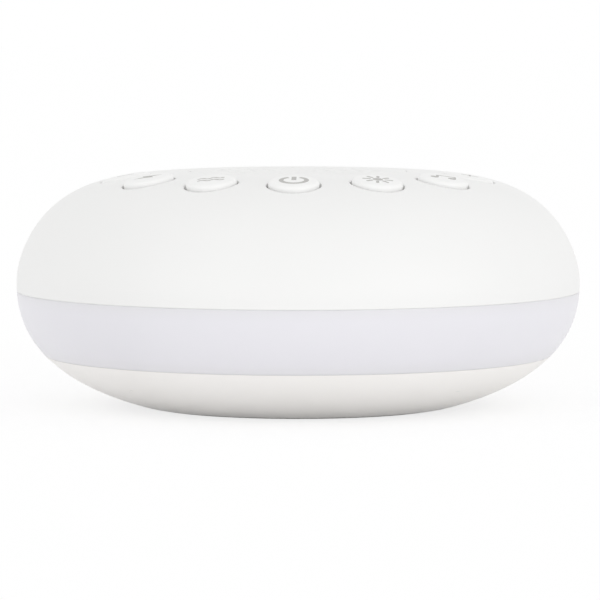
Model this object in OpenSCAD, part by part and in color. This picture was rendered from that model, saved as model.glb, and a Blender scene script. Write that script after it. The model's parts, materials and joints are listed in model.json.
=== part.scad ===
// Round bedside white noise machine: a flattened pebble of 112 mm with seven push
// buttons in an arc on the front of its top, a milky light band round its middle
// and a loudspeaker firing up through a perforated disc. The front faces -Y.

/* [Body] */
// Widest diameter of the body
body_d = 112; // [110:1:114]
// Height of the widest level above the table
widest_z = 25.2; // [24.6:0.1:25.8]
// Rise of the top above the widest level
upper_h = 21.5; // [21:0.1:22.5]
// How flat the top runs before its shoulder: higher is flatter
shoulder_power = 5.35; // [5:0.05:6]
// How upright the side above the widest level is: lower is more upright
rise_power = 1.63; // [1.5:0.01:1.8]
// Depth of the full lower curve, which the foot cuts off
lower_h = 28.2; // [27.5:0.1:29]
// Fullness of the lower curve across
belly_power = 2.34; // [2.2:0.02:2.5]
// Fullness of the lower curve downwards
drop_power = 2.42; // [2.3:0.02:2.5]
// Wall of the moulded shells
wall = 2.2; // [2:0.1:2.4]
// Height of the underside of the base above the table
foot_gap = 0.3; // [0.2:0.1:0.5]

/* [Light band] */
// Height of the band's lower edge
band_bottom_z = 10.2; // [9.8:0.1:10.6]
// Height of the band's upper edge
band_top_z = 22.9; // [22.4:0.1:23.2]
// Depth of the small chamfer along both seams
seam_chamfer = 0.1; // [0.05:0.05:0.3]

/* [Buttons] */
// Radius of the arc on which the buttons stand
key_ring_r = 36; // [35.5:0.1:36.5]
// Radius at which the outermost button on each side stands
outer_key_r = 34.5; // [34.2:0.1:35.5]
// How much lower those two caps stand than the others
outer_drop = 0.35; // [0:0.05:0.5]
// Angle from one button to the next
key_step = 26.2; // [26:0.1:27]
// Diameter of a button's cap
cap_d = 9.8; // [9:0.1:10]
// Clear gap between a cap and its hole
cap_gap = 0.4; // [0.3:0.05:0.5]
// How far the middle of a cap stands above the shell
cap_proud = 0.9; // [0.7:0.1:1.1]
// Radius of a cap's top edge
cap_round = 0.8; // [0.4:0.1:1]
// How far a button goes down
key_travel = 0.8; // [0.4:0.1:1]

/* [Loudspeaker] */
// Diameter of the perforated disc
grille_d = 43; // [41:1:44]
// Diameter of one perforation
grille_hole_d = 1.6; // [1.2:0.1:1.8]
// Distance from one ring of perforations to the next
grille_pitch = 3.1; // [2.8:0.1:3.2]
// Number of rings of perforations round the middle one
grille_rings = 5; // [4:1:5]
// Diameter of the loudspeaker's frame
speaker_d = 40; // [39:0.5:40]

/* [Light] */
// Number of lamps under the band
led_count = 24; // [12:4:28]

/* [Hidden] */

$fn = 64;
fine = 128;
coarse = 32;
eps = 0.01;
// How far a cutting shape runs past a face, and a length that passes right through the body
over = 1;
tall = 60;
body_r = body_d / 2;
curve_steps = 30;

// Colours, as the photograph and such parts show them
shell_white = "#f4f3f0";
band_milk = "#e9e8ee";
base_white = "#ebe8e3";
board_green = "#2e6b4a";
wire_red = "#c03028";
wire_black = "#202022";

// One point of the body's outline, at angle t of the upper or the lower curve.
// inset moves the curve inwards for the inner face of a wall.
function upper_point(t, inset = 0) = [
    (body_r - inset) * pow(cos(t), 2 / shoulder_power),
    widest_z + (upper_h - inset) * pow(sin(t), 2 / rise_power)];
function lower_point(t, inset = 0) = [
    (body_r - inset) * pow(cos(t), 2 / belly_power),
    widest_z - (lower_h - inset) * pow(sin(t), 2 / drop_power)];
// The angle of the lower curve at a height, and the angle of the upper curve at a radius
function lower_angle(z, inset = 0) = asin(pow((widest_z - z) / (lower_h - inset), drop_power / 2));
function upper_angle(r, inset = 0) = acos(pow(r / (body_r - inset), shoulder_power / 2));
// Height of the top at a radius, and radius of the lower curve at a height
function top_z(r, inset = 0) = upper_point(upper_angle(r, inset), inset)[1];
function lower_r(z, inset = 0) = lower_point(lower_angle(z, inset), inset)[0];
// The outline from one height of the lower curve up to another
function lower_curve(z_from, z_to, inset = 0) = let (
        a = lower_angle(z_from, inset),
        b = lower_angle(z_to, inset))
    [for (i = [0 : curve_steps]) lower_point(a + (b - a) * i / curve_steps, inset)];
// The outline from the widest level up to a radius on the top
function upper_curve(r_to, inset = 0) = let (
        b = upper_angle(r_to, inset),
        steps = curve_steps * 1.5)
    [for (i = [1 : steps]) upper_point(b * i / steps, inset)];

// Spigots of the top and the base, which centre the band between them
spigot_gap = 0.4;
spigot_wall = 1.4;
spigot_h = 1.6;
top_spigot_r = lower_r(band_top_z, wall) - spigot_gap;
base_spigot_r = lower_r(band_bottom_z, wall) - spigot_gap;

// Screws: shank radius, head radius, head height. A pilot hole is a little wider than the
// shank, and a clearance hole wider again
board_screw = [0.85, 1.9, 1.3];
lamp_screw = [0.65, 1.3, 0.9];
case_screw = [1.05, 2.1, 1.4];
pilot_gap = 0.05;
hole_gap = 0.35;
board_pilot_r = board_screw[0] + pilot_gap;
board_hole_r = board_screw[0] + hole_gap;
// Width and depth of the cross recess in a screw's head, and its reach across the head
recess_w = 0.5;
recess_depth = 0.6;
recess_reach = 0.6;

// Buttons, from the left: angle of each from the front, towards +X, its radius, and how
// much lower its cap stands
key_angles = [for (i = [-3 : 3]) i * key_step];
key_radii = [for (i = [-3 : 3]) abs(i) == 3 ? outer_key_r : key_ring_r];
cap_drops = [for (i = [-3 : 3]) abs(i) == 3 ? outer_drop : 0];
key_surface_z = top_z(key_ring_r);
key_tilt = atan2(top_z(key_ring_r - 1) - top_z(key_ring_r + 1), 2);
cap_r = cap_d / 2;
hole_r = cap_r + cap_gap;
flange_r = cap_r + 1;
well_r = flange_r + cap_gap;
sleeve_r = well_r + 1;
// The ledge that stops a flange is level, so it stays under the falling shell
ledge_z = top_z(key_ring_r + well_r) - 1.5;
flange_t = 0.9;
flange_top_z = ledge_z - 0.2;
flange_bottom_z = flange_top_z - flange_t;
sleeve_bottom_z = flange_bottom_z - key_travel - 0.4;
stem_r = 1.8;
stem_bottom_z = flange_bottom_z - 1.8;

// Button board and its switches
switch_size = 6;
switch_h = 3.4;
plunger_r = 1.6;
plunger_reach = 1;
plunger_depth = 1.2;
plunger_gap = 0.1;
switch_top_z = stem_bottom_z - plunger_reach;
board_t = 1.2;
key_board_top_z = switch_top_z - switch_h;
key_board_in_r = 25.5;
key_board_out_r = 43.5;
key_board_span = 2 * (3 * key_step + 20);
key_post_angles = [-3.5 * key_step, -1.5 * key_step, 1.5 * key_step, 3.5 * key_step];
key_post_r = 40;
key_boss_r = 2.5;
board_screw_length = 5;

// Grille and loudspeaker
grille_r = grille_d / 2;
grille_top_z = top_z(grille_r);
grille_t = 1.4;
grille_gap = 0.1;
mesh_t = 0.25;
ceiling_z = grille_top_z - grille_t - 1.1;
gasket_t = 0.8;
speaker_r = speaker_d / 2;
lip_r = speaker_r - 2;
speaker_top_z = ceiling_z - gasket_t;
speaker_flange_t = 0.9;
surround_out_r = speaker_r - 1.4;
surround_z = speaker_top_z - 0.5;
// Width of the seat on which the rubber roll is glued, on the frame and on the cone
seat_w = 1;
rim_w = 0.8;
cone_out_r = speaker_r - 5.2;
cone_t = 0.4;
cone_low_z = surround_z - 6;
coil_r = 6.3;
coil_half_t = 0.2;
basket_floor_z = speaker_top_z - 9.8;
basket_in_r = 13.2;
basket_out_r = 14;
basket_window = [12, 7.2, 4.8];
terminal_block = [6, 1.5, 3];
terminal_spot = [0, 15.9, 35];
top_plate_t = 2;
top_plate_r = 13;
magnet_t = 5.2;
magnet_in_r = 8;
magnet_out_r = 14;
yoke_t = 2;
yoke_r = 13.2;
pole_gap = 0.6;
plate_top_z = basket_floor_z - 0.8;
magnet_top_z = plate_top_z - top_plate_t;
coil_low_z = plate_top_z - 3.4;
yoke_top_z = magnet_top_z - magnet_t;
chamber_wall = 1.5;
chamber_out_r = speaker_r + 0.5 + chamber_wall;
chamber_floor_z = yoke_top_z - yoke_t - 3;
chamber_angles = [-2.5 * key_step, 2.5 * key_step, 180];
ear_ring_r = 26.4;
ear_r = 2.6;
ear_t = 2;
ear_drop = 3;
ear_boss_r = 2.4;
ear_screw_length = 5.2;
lead_hole_z = 30;
lead_hole_r = 2.2;

// Case posts, which join the top to the base
post_ring_r = 27.5;
post_r = 3.2;
post_angles = [-1.5 * key_step, 1.5 * key_step, 140, -140];
post_join_z = 23.5;
case_pilot_r = case_screw[0] + pilot_gap;
case_hole_r = 1.5;
case_head_z = 16;
case_screw_length = 14;

// Base, boards and battery
floor_top_z = foot_gap + wall;
// The posts start inside the floor, so that they are one piece with it
post_root_z = floor_top_z - 1;
main_board_r = 31;
main_board_z = 13;
main_board_t = 1.6;
main_top_z = main_board_z + main_board_t;
main_post_spots = [[28, 0], [-28, 0], [0, 19.6], [0, -19.6]];
main_post_r = 2.2;
main_screw_length = 6;
post_clearance = 0.5;
// Chips: middle, then width, depth and height
chips = [[-8, 2, 7, 7, 1.2], [7, 6, 5, 4, 1.5], [8, -6, 5, 5, 1], [-8, -10, 4, 3, 1.1]];
pin_mark_r = 0.35;
pin_mark_inset = 0.8;
pin_mark_depth = 0.2;
capacitor_spots = [[16, 2], [16, -8], [-17, 10]];
capacitor_r = 2.5;
capacitor_h = 3.8;
// Connectors: lowest corner, then width and depth
connectors = [[-5, -25.4, 10, 3], [-2.5, 22.2, 5, 3], [-8.5, 23.3, 5, 3], [26, 3.5, 3.5, 5],
    [-29.5, 2.5, 3.5, 5]];
connector_h = 3.2;
battery = [48, 32, 5.6];
battery_corner = 3;
pad_t = 0.5;
pad_inset = 4;
battery_z = floor_top_z + pad_t;
battery_top_z = battery_z + battery[2];
strap_x = 10;
strap_y = battery[1] / 2 + 2.6;
strap_w = 5;
strap_t = 1;
strap_post_z = 6;
strap_post_r = 1.9;
strap_hole_r = 1.1;
strap_screw_length = 7;
led_board_in_r = 41;
led_board_out_r = 47.5;
led_board_z = 12;
led_top_z = led_board_z + board_t;
led_r = 45;
led_size = [2.8, 3.5, 1.4];
led_post_angles = [45, 135, 225, 315];
led_post_ring_r = 42.8;
led_post_r = 1.7;
led_post_root_z = 5.5;
led_screw_length = 4.6;
// Reflector: gap under it, wall of its foot and lip, and how far it leans out and rises
reflector_gap = 0.1;
reflector_foot_w = 2.2;
reflector_lean = 8.6;
reflector_h = 7;
reflector_t = 1;
foot_in_r = 24.7;
foot_out_r = 30.3;
foot_groove_gap = 0.1;
foot_seat_z = 1.1;
label_r = 18;
label_depth = 0.2;

// Inlet in the rear wall: a small oval receptacle for a charging lead
inlet_z = 29.6;
inlet_size = [8.9, 7.4, 3.2];
inlet_skin = 0.35;
inlet_bore = inlet_size - [2 * inlet_skin, 0, 2 * inlet_skin];
inlet_slot_gap = 0.4;
inlet_mouth_y = body_r - 1.2;
inlet_back_y = inlet_mouth_y - inlet_size[1];
inlet_back_t = 1.6;
tongue = [6.7, 5.2, 0.7];
inlet_board_size = [18, 14, 1.2];
inlet_board_y = inlet_mouth_y - 18;
inlet_board_top_z = inlet_z - inlet_size[2] / 2;
inlet_board_low_z = inlet_board_top_z - inlet_board_size[2];
inlet_post_x = 6.6;
inlet_post_y = inlet_board_y + 2.6;
inlet_boss_r = 2.1;

// Routes of the inner leads, as round numbers, each in one upright plane
lead_r = 0.55;
lead_gap = 0.9;
lead_sides = 8;
speaker_route = [[0, 16.6, 35], [0, 16.6, 34], [0, 16.6, 33], [0, 16.6, 31.2], [0, 16.9, 30.3],
    [0, 17.6, 30], [0, 18.2, 30], [0, 20.5, 30], [0, 22.8, 30], [0, 23.4, 30], [0, 26, 28.6],
    [0, 27.4, 24], [0, 27.8, 18.4], [0, 27.2, 16.6], [0, 26.4, 16.2], [0, 25.8, 16.2],
    [0, 25.2, 16.2]];
battery_route = [[24, 6, 5.6], [24.8, 6, 5.6], [25.6, 6, 5.6], [28.4, 6, 5.7], [32, 6, 7.5],
    [33.5, 6, 12], [32.6, 6, 15.4], [31.2, 6, 16.2], [30.4, 6, 16.2], [29.5, 6, 16.2]];
led_route = [[-42.8, 5, 12], [-42.8, 5, 11.4], [-42.8, 5, 10.8], [-42, 5, 9.8], [-40.4, 5, 9.4],
    [-38, 5, 9.8], [-35, 5, 11.8], [-33.4, 5, 14.5], [-31.6, 5, 16.1], [-30.6, 5, 16.2],
    [-30, 5, 16.2], [-29.5, 5, 16.2]];
inlet_route = [[-6, 46, 26.8], [-6, 46, 26.2], [-6, 46, 25.6], [-6, 45.2, 24], [-6, 41, 21.2],
    [-6, 34, 18.2], [-6, 28.8, 16.3], [-6, 27.6, 16.2], [-6, 26.9, 16.2], [-6, 26.3, 16.2]];
// The ribbon's outline, seen from the side
ribbon_w = 8;
ribbon_edge = [[-27.65, 33.6], [-27.35, 33.6], [-27.35, 18.4], [-26.9, 17.2], [-25.4, 16.65],
    [-25.4, 16.35], [-27.1, 16.9], [-27.65, 18.3]];

// ---- shared shapes ----

// Places a child on a ring round the axis, upright, at an angle from the front
module at_angle(angle, r) {
    rotate([0, 0, angle]) translate([0, -r, 0]) children();
}

// Places a child at one of the seven buttons
module at_key(i) {
    at_angle(key_angles[i], key_radii[i]) children();
}

// A ring or tube about the axis
module ring(r_in, r_out, z, h) {
    translate([0, 0, z]) difference() {
        cylinder(r = r_out, h = h);
        translate([0, 0, -over]) cylinder(r = r_in, h = h + 2 * over);
    }
}

// An upright post or hole from a height
module post(r, z, h) {
    translate([0, 0, z]) cylinder(r = r, h = h, $fn = coarse);
}

// A screw whose head's face rests at z = 0 and whose shank points up, with a cross recess
module screw(size, length) {
    reach = size[1] * recess_reach;
    difference() {
        union() {
            post(size[0], -eps, length + eps);
            post(size[1], -size[2], size[2]);
        }
        for (a = [0, 90]) rotate([0, 0, a]) translate([-reach, -recess_w / 2, -size[2] - over]) {
            cube([2 * reach, recess_w, over + size[2] * recess_depth]);
        }
    }
}

// Points on a smooth curve through a route's own points
function between(p, i, t) = let (
        a = p[max(i - 1, 0)],
        b = p[i],
        c = p[i + 1],
        d = p[min(i + 2, len(p) - 1)])
    0.5 * (2 * b + (c - a) * t + (2 * a - 5 * b + 4 * c - d) * t * t
        + (3 * b - a - 3 * c + d) * t * t * t);
function smooth_route(p, steps = 2) = concat(
    [for (i = [0 : len(p) - 2]) for (k = [0 : steps - 1]) between(p, i, k / steps)],
    [p[len(p) - 1]]);
function unit(v) = v / norm(v);
// Direction of a route at one of its points
function heading(p, i) = unit(p[min(i + 1, len(p) - 1)] - p[max(i - 1, 0)]);

// An insulated lead swept along a route; across is square to the plane it lies in
module lead(route, across) {
    p = smooth_route(route);
    n = len(p);
    s = lead_sides;
    points = [for (i = [0 : n - 1]) let (up = unit(cross(heading(p, i), across)))
        for (a = [0 : 360 / s : 359]) p[i] + lead_r * (cos(a) * across + sin(a) * up)];
    walls = [for (i = [0 : n - 2]) for (k = [0 : s - 1]) let (m = (k + 1) % s)
        [i * s + k, (i + 1) * s + k, (i + 1) * s + m, i * s + m]];
    first_end = [[for (k = [0 : s - 1]) k]];
    last_end = [[for (k = [s - 1 : -1 : 0]) (n - 1) * s + k]];
    polyhedron(points, concat(walls, first_end, last_end));
}

// ---- housing ----

// Solid of the top down to the band, with its spigot inside the band
module top_outer() {
    rotate_extrude($fn = fine) polygon(concat(
        [[0, band_top_z - spigot_h], [top_spigot_r, band_top_z - spigot_h],
         [top_spigot_r, band_top_z], [lower_r(band_top_z) - seam_chamfer, band_top_z]],
        lower_curve(band_top_z + seam_chamfer, widest_z),
        upper_curve(grille_r),
        [[0, grille_top_z]]));
}

// Space inside the top, open below
module top_inner() {
    inner_r = top_spigot_r - spigot_wall;
    open_z = band_top_z - spigot_h - over;
    rotate_extrude($fn = fine) polygon(concat(
        [[0, open_z], [inner_r, open_z], [inner_r, band_top_z]],
        [for (p = upper_curve(grille_r, wall)) if (p[0] < inner_r) p],
        [[grille_r - 0.5, ceiling_z], [0, ceiling_z]]));
}

// What stands in that space: sleeves of the buttons and bosses for the screws
module top_posts() {
    for (i = [0 : 6]) at_key(i) translate([0, 0, sleeve_bottom_z]) cylinder(r = sleeve_r, h = tall);
    for (a = key_post_angles) at_angle(a, key_post_r) post(key_boss_r, key_board_top_z, tall);
    for (a = post_angles) at_angle(a, post_ring_r) post(post_r, post_join_z, tall);
    for (a = chamber_angles) at_angle(a, ear_ring_r) post(ear_boss_r, ceiling_z - ear_drop, tall);
    for (x = [-inlet_post_x, inlet_post_x]) translate([x, inlet_post_y, 0]) {
        post(inlet_boss_r, inlet_board_top_z, tall);
    }
}

// Pilot holes for every screw that is driven up into the top
module top_pilots() {
    case_pilot_top_z = case_head_z + case_screw_length + 2;
    ear_pilot_top_z = ceiling_z + 0.4;
    for (a = key_post_angles) at_angle(a, key_post_r) {
        post(board_pilot_r, key_board_top_z - over, board_screw_length + over);
    }
    for (a = post_angles) at_angle(a, post_ring_r) {
        post(case_pilot_r, post_join_z - over, case_pilot_top_z - post_join_z + over);
    }
    for (a = chamber_angles) at_angle(a, ear_ring_r) {
        post(board_pilot_r, ceiling_z - ear_drop - over, ear_pilot_top_z - ceiling_z + ear_drop + over);
    }
    for (x = [-inlet_post_x, inlet_post_x]) translate([x, inlet_post_y, 0]) {
        post(board_pilot_r, inlet_board_top_z - over, board_screw_length + over);
    }
}

// A slot with round ends along Y
module inlet_slot(size, y, length) {
    straight = size[0] - size[2];
    for (x = [-straight / 2, straight / 2]) translate([x, y, inlet_z]) {
        rotate([-90, 0, 0]) cylinder(r = size[2] / 2, h = length, $fn = coarse);
    }
    translate([-straight / 2, y, inlet_z - size[2] / 2]) cube([straight, length, size[2]]);
}

module top_shell() color(shell_white) difference() {
    top_outer();
    difference() {
        top_inner();
        top_posts();
    }
    top_pilots();
    for (i = [0 : 6]) at_key(i) {
        translate([0, 0, key_surface_z]) rotate([key_tilt, 0, 0]) {
            translate([0, 0, -hole_r]) cylinder(r = hole_r, h = 2 * hole_r);
        }
        translate([0, 0, sleeve_bottom_z - over]) cylinder(r = well_r, h = ledge_z - sleeve_bottom_z + over);
    }
    translate([0, 0, grille_top_z - grille_t]) cylinder(r = grille_r + grille_gap, h = tall, $fn = fine);
    translate([0, 0, ceiling_z - over]) cylinder(r = lip_r, h = tall, $fn = fine);
    inlet_slot(inlet_size + 2 * inlet_slot_gap * [1, 0, 1], inlet_mouth_y - 4, 10);
}

// Disc with a perforation in its middle and rings of six, twelve, eighteen and so on
module speaker_grille() color(shell_white) difference() {
    translate([0, 0, grille_top_z - grille_t]) cylinder(r = grille_r, h = grille_t, $fn = fine);
    for (k = [0 : grille_rings]) for (i = [0 : max(6 * k - 1, 0)]) {
        rotate([0, 0, i * 60 / max(k, 1)]) translate([k * grille_pitch, 0, grille_top_z - grille_t - over]) {
            cylinder(d = grille_hole_d, h = grille_t + 2 * over, $fn = 24);
        }
    }
}

module dust_mesh() color("#3a3a3c") {
    translate([0, 0, grille_top_z - grille_t - mesh_t]) cylinder(r = lip_r - 0.2, h = mesh_t, $fn = fine);
}

module light_band() color(band_milk) rotate_extrude($fn = fine) polygon(concat(
    [[lower_r(band_bottom_z) - seam_chamfer, band_bottom_z]],
    lower_curve(band_bottom_z + seam_chamfer, band_top_z - seam_chamfer),
    [[lower_r(band_top_z) - seam_chamfer, band_top_z]],
    [for (i = [0 : curve_steps]) let (z = band_top_z + (band_bottom_z - band_top_z) * i / curve_steps)
        [lower_r(z, wall), z]]));

// Outside of the base with its spigot, and the space inside it
module base_outer() {
    rotate_extrude($fn = fine) polygon(concat(
        [[0, foot_gap]],
        lower_curve(foot_gap, band_bottom_z - seam_chamfer),
        [[lower_r(band_bottom_z) - seam_chamfer, band_bottom_z], [base_spigot_r, band_bottom_z],
         [base_spigot_r, band_bottom_z + spigot_h], [0, band_bottom_z + spigot_h]]));
}

module base_inner() {
    inner_r = base_spigot_r - spigot_wall;
    open_z = band_bottom_z + spigot_h + over;
    rotate_extrude($fn = fine) polygon(concat(
        [[0, floor_top_z]],
        [for (p = lower_curve(floor_top_z, band_bottom_z, wall)) if (p[0] < inner_r) p],
        [[inner_r, band_bottom_z], [inner_r, open_z], [0, open_z]]));
}

// Places a child at each end of each battery strap
module strap_spots() {
    for (x = [-strap_x, strap_x]) for (y = [-strap_y, strap_y]) translate([x, y, 0]) children();
}

// Places a child at each screw of the lamp board
module led_spots() {
    for (a = led_post_angles) rotate([0, 0, a]) translate([led_post_ring_r, 0, 0]) children();
}

// What stands in the base: posts for the case screws, the boards and the straps
module base_posts() {
    for (a = post_angles) at_angle(a, post_ring_r) post(post_r, post_root_z, post_join_z - post_root_z);
    for (p = main_post_spots) translate(p) post(main_post_r, post_root_z, main_board_z - post_root_z);
    led_spots() post(led_post_r, led_post_root_z, led_board_z - led_post_root_z);
    strap_spots() post(strap_post_r, post_root_z, strap_post_z - post_root_z);
}

module base_shell() color(base_white) difference() {
    union() {
        difference() {
            base_outer();
            base_inner();
        }
        base_posts();
    }
    for (a = post_angles) at_angle(a, post_ring_r) {
        post(case_screw[1] + 0.2, -over, case_head_z + over);
        post(case_hole_r, 0, tall);
    }
    for (p = main_post_spots) translate(p) post(board_pilot_r, main_board_z - main_screw_length, tall);
    led_spots() post(lamp_screw[0] + pilot_gap, led_board_z - led_screw_length, tall);
    strap_spots() post(board_pilot_r, battery_top_z + strap_t - strap_screw_length - 0.3, tall);
    ring(foot_in_r - foot_groove_gap, foot_out_r + foot_groove_gap, -over, foot_seat_z + over);
    translate([0, 0, -over]) cylinder(r = label_r, h = foot_gap + label_depth + over, $fn = fine);
}

module foot_ring() color("#d9d8d4") ring(foot_in_r, foot_out_r, 0, foot_seat_z);

// ---- buttons ----

// A cap's head on its own axis: a flat top, a round edge and an upright side
module cap_head(depth) {
    translate([0, 0, cap_proud]) rotate_extrude() polygon(concat(
        [[0, -depth - cap_proud], [cap_r, -depth - cap_proud]],
        [for (a = [0 : 15 : 90]) [cap_r - cap_round + cap_round * cos(a), cap_round * (sin(a) - 1)]],
        [[0, 0]]));
}

// The head leans with the shell; its flange and stem are upright and slide straight down
module cap(i) color("#fbfbfa") at_key(i) {
    reach = 2 * flange_r;
    difference() {
        translate([0, 0, key_surface_z - cap_drops[i]]) rotate([key_tilt, 0, 0]) {
            cap_head(key_surface_z - flange_bottom_z + over);
        }
        translate([-reach, -reach, flange_bottom_z - reach + flange_t / 2]) cube(2 * reach * [1, 1, 0.5]);
    }
    translate([0, 0, flange_bottom_z]) cylinder(r = flange_r, h = flange_t);
    post(stem_r, stem_bottom_z, flange_bottom_z - stem_bottom_z + eps);
}

// Pin of a key switch, which goes down with its cap
module plunger(i) color("#2b2b2d") at_key(i) {
    post(plunger_r, switch_top_z - plunger_depth, plunger_reach + plunger_depth);
}

module button_minus() cap(0);
module button_flash() cap(1);
module button_wave() cap(2);
module button_power() cap(3);
module button_light() cap(4);
module button_melody() cap(5);
module button_plus() cap(6);
module plunger_minus() plunger(0);
module plunger_flash() plunger(1);
module plunger_wave() plunger(2);
module plunger_power() plunger(3);
module plunger_light() plunger(4);
module plunger_melody() plunger(5);
module plunger_plus() plunger(6);

// A horseshoe of circuit board under the button arc, with room for the case posts
module button_board() color(board_green) difference() {
    translate([0, 0, key_board_top_z - board_t]) rotate([0, 0, -90 - key_board_span / 2]) {
        rotate_extrude(angle = key_board_span, $fn = fine) translate([key_board_in_r, 0]) {
            square([key_board_out_r - key_board_in_r, board_t]);
        }
    }
    for (a = post_angles) at_angle(a, post_ring_r) {
        post(post_r + post_clearance, key_board_top_z - board_t - over, board_t + 2 * over);
    }
    for (a = key_post_angles) at_angle(a, key_post_r) {
        post(board_hole_r, key_board_top_z - board_t - over, board_t + 2 * over);
    }
}

module key_switches() color("#1f2023") for (i = [0 : 6]) at_key(i) difference() {
    translate([-switch_size / 2, -switch_size / 2, key_board_top_z]) {
        cube([switch_size, switch_size, switch_h]);
    }
    post(plunger_r + plunger_gap, switch_top_z - plunger_depth - key_travel - 0.3, tall);
}

module button_board_screws() color("silver") for (a = key_post_angles) at_angle(a, key_post_r) {
    translate([0, 0, key_board_top_z - board_t]) screw(board_screw, board_screw_length);
}

// ---- loudspeaker ----

module speaker_gasket() color("#2a2a2c") ring(speaker_r - 2.3, speaker_r, speaker_top_z, gasket_t);

// Pressed frame: a flange with a step for the rubber roll, a cone with six windows,
// a floor round the coil and a block for the two terminals
module speaker_frame() color("#6f7175") difference() {
    seat_r = surround_out_r - seat_w;
    side_r = speaker_r - 1.6;
    side_z = speaker_top_z - speaker_flange_t;
    floor_in_r = coil_r + 0.8;
    union() {
        rotate_extrude($fn = fine) polygon([
            [speaker_r, speaker_top_z],
            [surround_out_r, speaker_top_z],
            [surround_out_r, surround_z],
            [seat_r, surround_z],
            [seat_r, surround_z - 0.6],
            [basket_in_r, basket_floor_z],
            [floor_in_r, basket_floor_z],
            [floor_in_r, plate_top_z],
            [basket_out_r, plate_top_z],
            [side_r, side_z - 0.4],
            [side_r, side_z],
            [speaker_r, side_z]]);
        translate(terminal_spot - [terminal_block[0] / 2, 0, 0]) cube(terminal_block);
    }
    for (a = [0 : 60 : 300]) rotate([0, 0, a]) {
        translate([10, -basket_window[1] / 2, basket_floor_z + 1.2]) cube(basket_window);
    }
}

// Half-round rubber roll between the frame and the cone, with a flat lip on each side
module speaker_surround() color("#26262a") {
    glue_gap = 0.05;
    skin = 0.4;
    out_r = surround_out_r - glue_gap;
    in_r = cone_out_r - rim_w - 0.1;
    mid_r = (surround_out_r - seat_w + cone_out_r) / 2;
    roll_r = (surround_out_r - seat_w - cone_out_r) / 2;
    roll_h = roll_r * 0.7;
    translate([0, 0, surround_z]) rotate_extrude($fn = fine) polygon(concat(
        [[out_r, 0], [out_r, skin]],
        [for (a = [0 : 15 : 180]) [mid_r + roll_r * cos(a), skin + roll_h * sin(a)]],
        [[in_r, skin], [in_r, glue_gap]],
        [for (a = [180 : -15 : 0]) [mid_r + (roll_r - skin) * cos(a), roll_h * sin(a)]]));
}

// Paper cone with a flat rim under the roll, its dust cap, and the coil on its tube:
// these three move together
rim_out_r = cone_out_r - 0.1;
cone_top_r = cone_out_r - 1.1;
neck_r = coil_r + cone_t;
module speaker_cone() color("#34343a") rotate_extrude($fn = fine) polygon([
    [rim_out_r, surround_z],
    [rim_out_r, surround_z - cone_t],
    [rim_out_r - rim_w, surround_z - cone_t],
    [neck_r + 0.3, cone_low_z],
    [coil_r - coil_half_t, cone_low_z],
    [coil_r - coil_half_t, cone_low_z + cone_t],
    [neck_r, cone_low_z + cone_t],
    [cone_top_r, surround_z]]);

module speaker_dust_cap() color("#222226") {
    rise = 1.8;
    skin = 0.3;
    base_r = coil_r + 1.4;
    ball_r = (base_r * base_r + rise * rise) / (2 * rise);
    edge = asin(base_r / ball_r);
    // Where the cone is as wide as the dust cap, raised so that its inner edge rests there
    slope = (surround_z - cone_low_z - cone_t) / (cone_top_r - neck_r);
    lift = skin * (cos(edge) - slope * sin(edge));
    foot_z = cone_low_z + cone_t + slope * (base_r - neck_r) + lift;
    translate([0, 0, foot_z - ball_r * cos(edge)]) rotate_extrude($fn = fine) polygon(concat(
        [for (i = [0 : 8]) ball_r * [sin(edge * i / 8), cos(edge * i / 8)]],
        [for (i = [8 : -1 : 0]) (ball_r - skin) * [sin(edge * i / 8), cos(edge * i / 8)]]));
}

module voice_coil() color("#b87333") {
    ring(coil_r - coil_half_t, coil_r + coil_half_t, coil_low_z, cone_low_z - coil_low_z);
}

// Corrugated cloth disc that centres the coil: level with the coil's middle, its rim
// stepping down to the frame's floor
module speaker_spider() color("#c9a45a") translate([0, 0, basket_floor_z]) {
    waves = 4;
    wave_h = 0.6;
    skin = 0.3;
    top = 1.4;
    in_r = coil_r + 0.25;
    rim_r = 12.4;
    pitch = (rim_r - in_r) / waves;
    rotate_extrude($fn = fine) polygon(concat(
        [[in_r, top]],
        [for (i = [1 : 2 * waves]) [in_r + i * pitch / 2, top + (i % 2) * wave_h]],
        [[rim_r + 0.6, top], [rim_r + 0.6, 0], [rim_r, 0], [rim_r, top - skin]],
        [for (i = [2 * waves - 1 : -1 : 0]) [in_r + i * pitch / 2, top - skin + (i % 2) * wave_h]]));
}

module speaker_top_plate() color("#8d9094") ring(coil_r + pole_gap, top_plate_r, magnet_top_z, top_plate_t);

module speaker_magnet() color("#3b3d42") ring(magnet_in_r, magnet_out_r, yoke_top_z, magnet_t);

module speaker_yoke() color("#8d9094") {
    translate([0, 0, yoke_top_z - yoke_t]) cylinder(r = yoke_r, h = yoke_t);
    translate([0, 0, yoke_top_z - over]) cylinder(r = coil_r - pole_gap, h = magnet_t + top_plate_t + over);
}

// Closed cup behind the loudspeaker, hung on three ears
module speaker_chamber() color("#e4e3df") difference() {
    ear_z = ceiling_z - ear_drop - ear_t;
    low_z = chamber_floor_z - chamber_wall;
    union() {
        translate([0, 0, low_z]) cylinder(r = chamber_out_r, h = ceiling_z - low_z, $fn = fine);
        for (a = chamber_angles) at_angle(a, ear_ring_r) {
            post(ear_r, ear_z, ear_t);
            translate([-2, 0, ear_z]) cube([4, 5, ear_t]);
        }
    }
    translate([0, 0, chamber_floor_z]) cylinder(r = speaker_r - 1.2, h = tall, $fn = fine);
    translate([0, 0, speaker_top_z - speaker_flange_t]) cylinder(r = speaker_r + 0.1, h = tall, $fn = fine);
    for (a = chamber_angles) at_angle(a, ear_ring_r) post(board_hole_r, ear_z - over, ear_t + 2 * over);
    translate([0, chamber_out_r + over, lead_hole_z]) rotate([90, 0, 0]) {
        cylinder(r = lead_hole_r, h = 6, $fn = coarse);
    }
}

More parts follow.
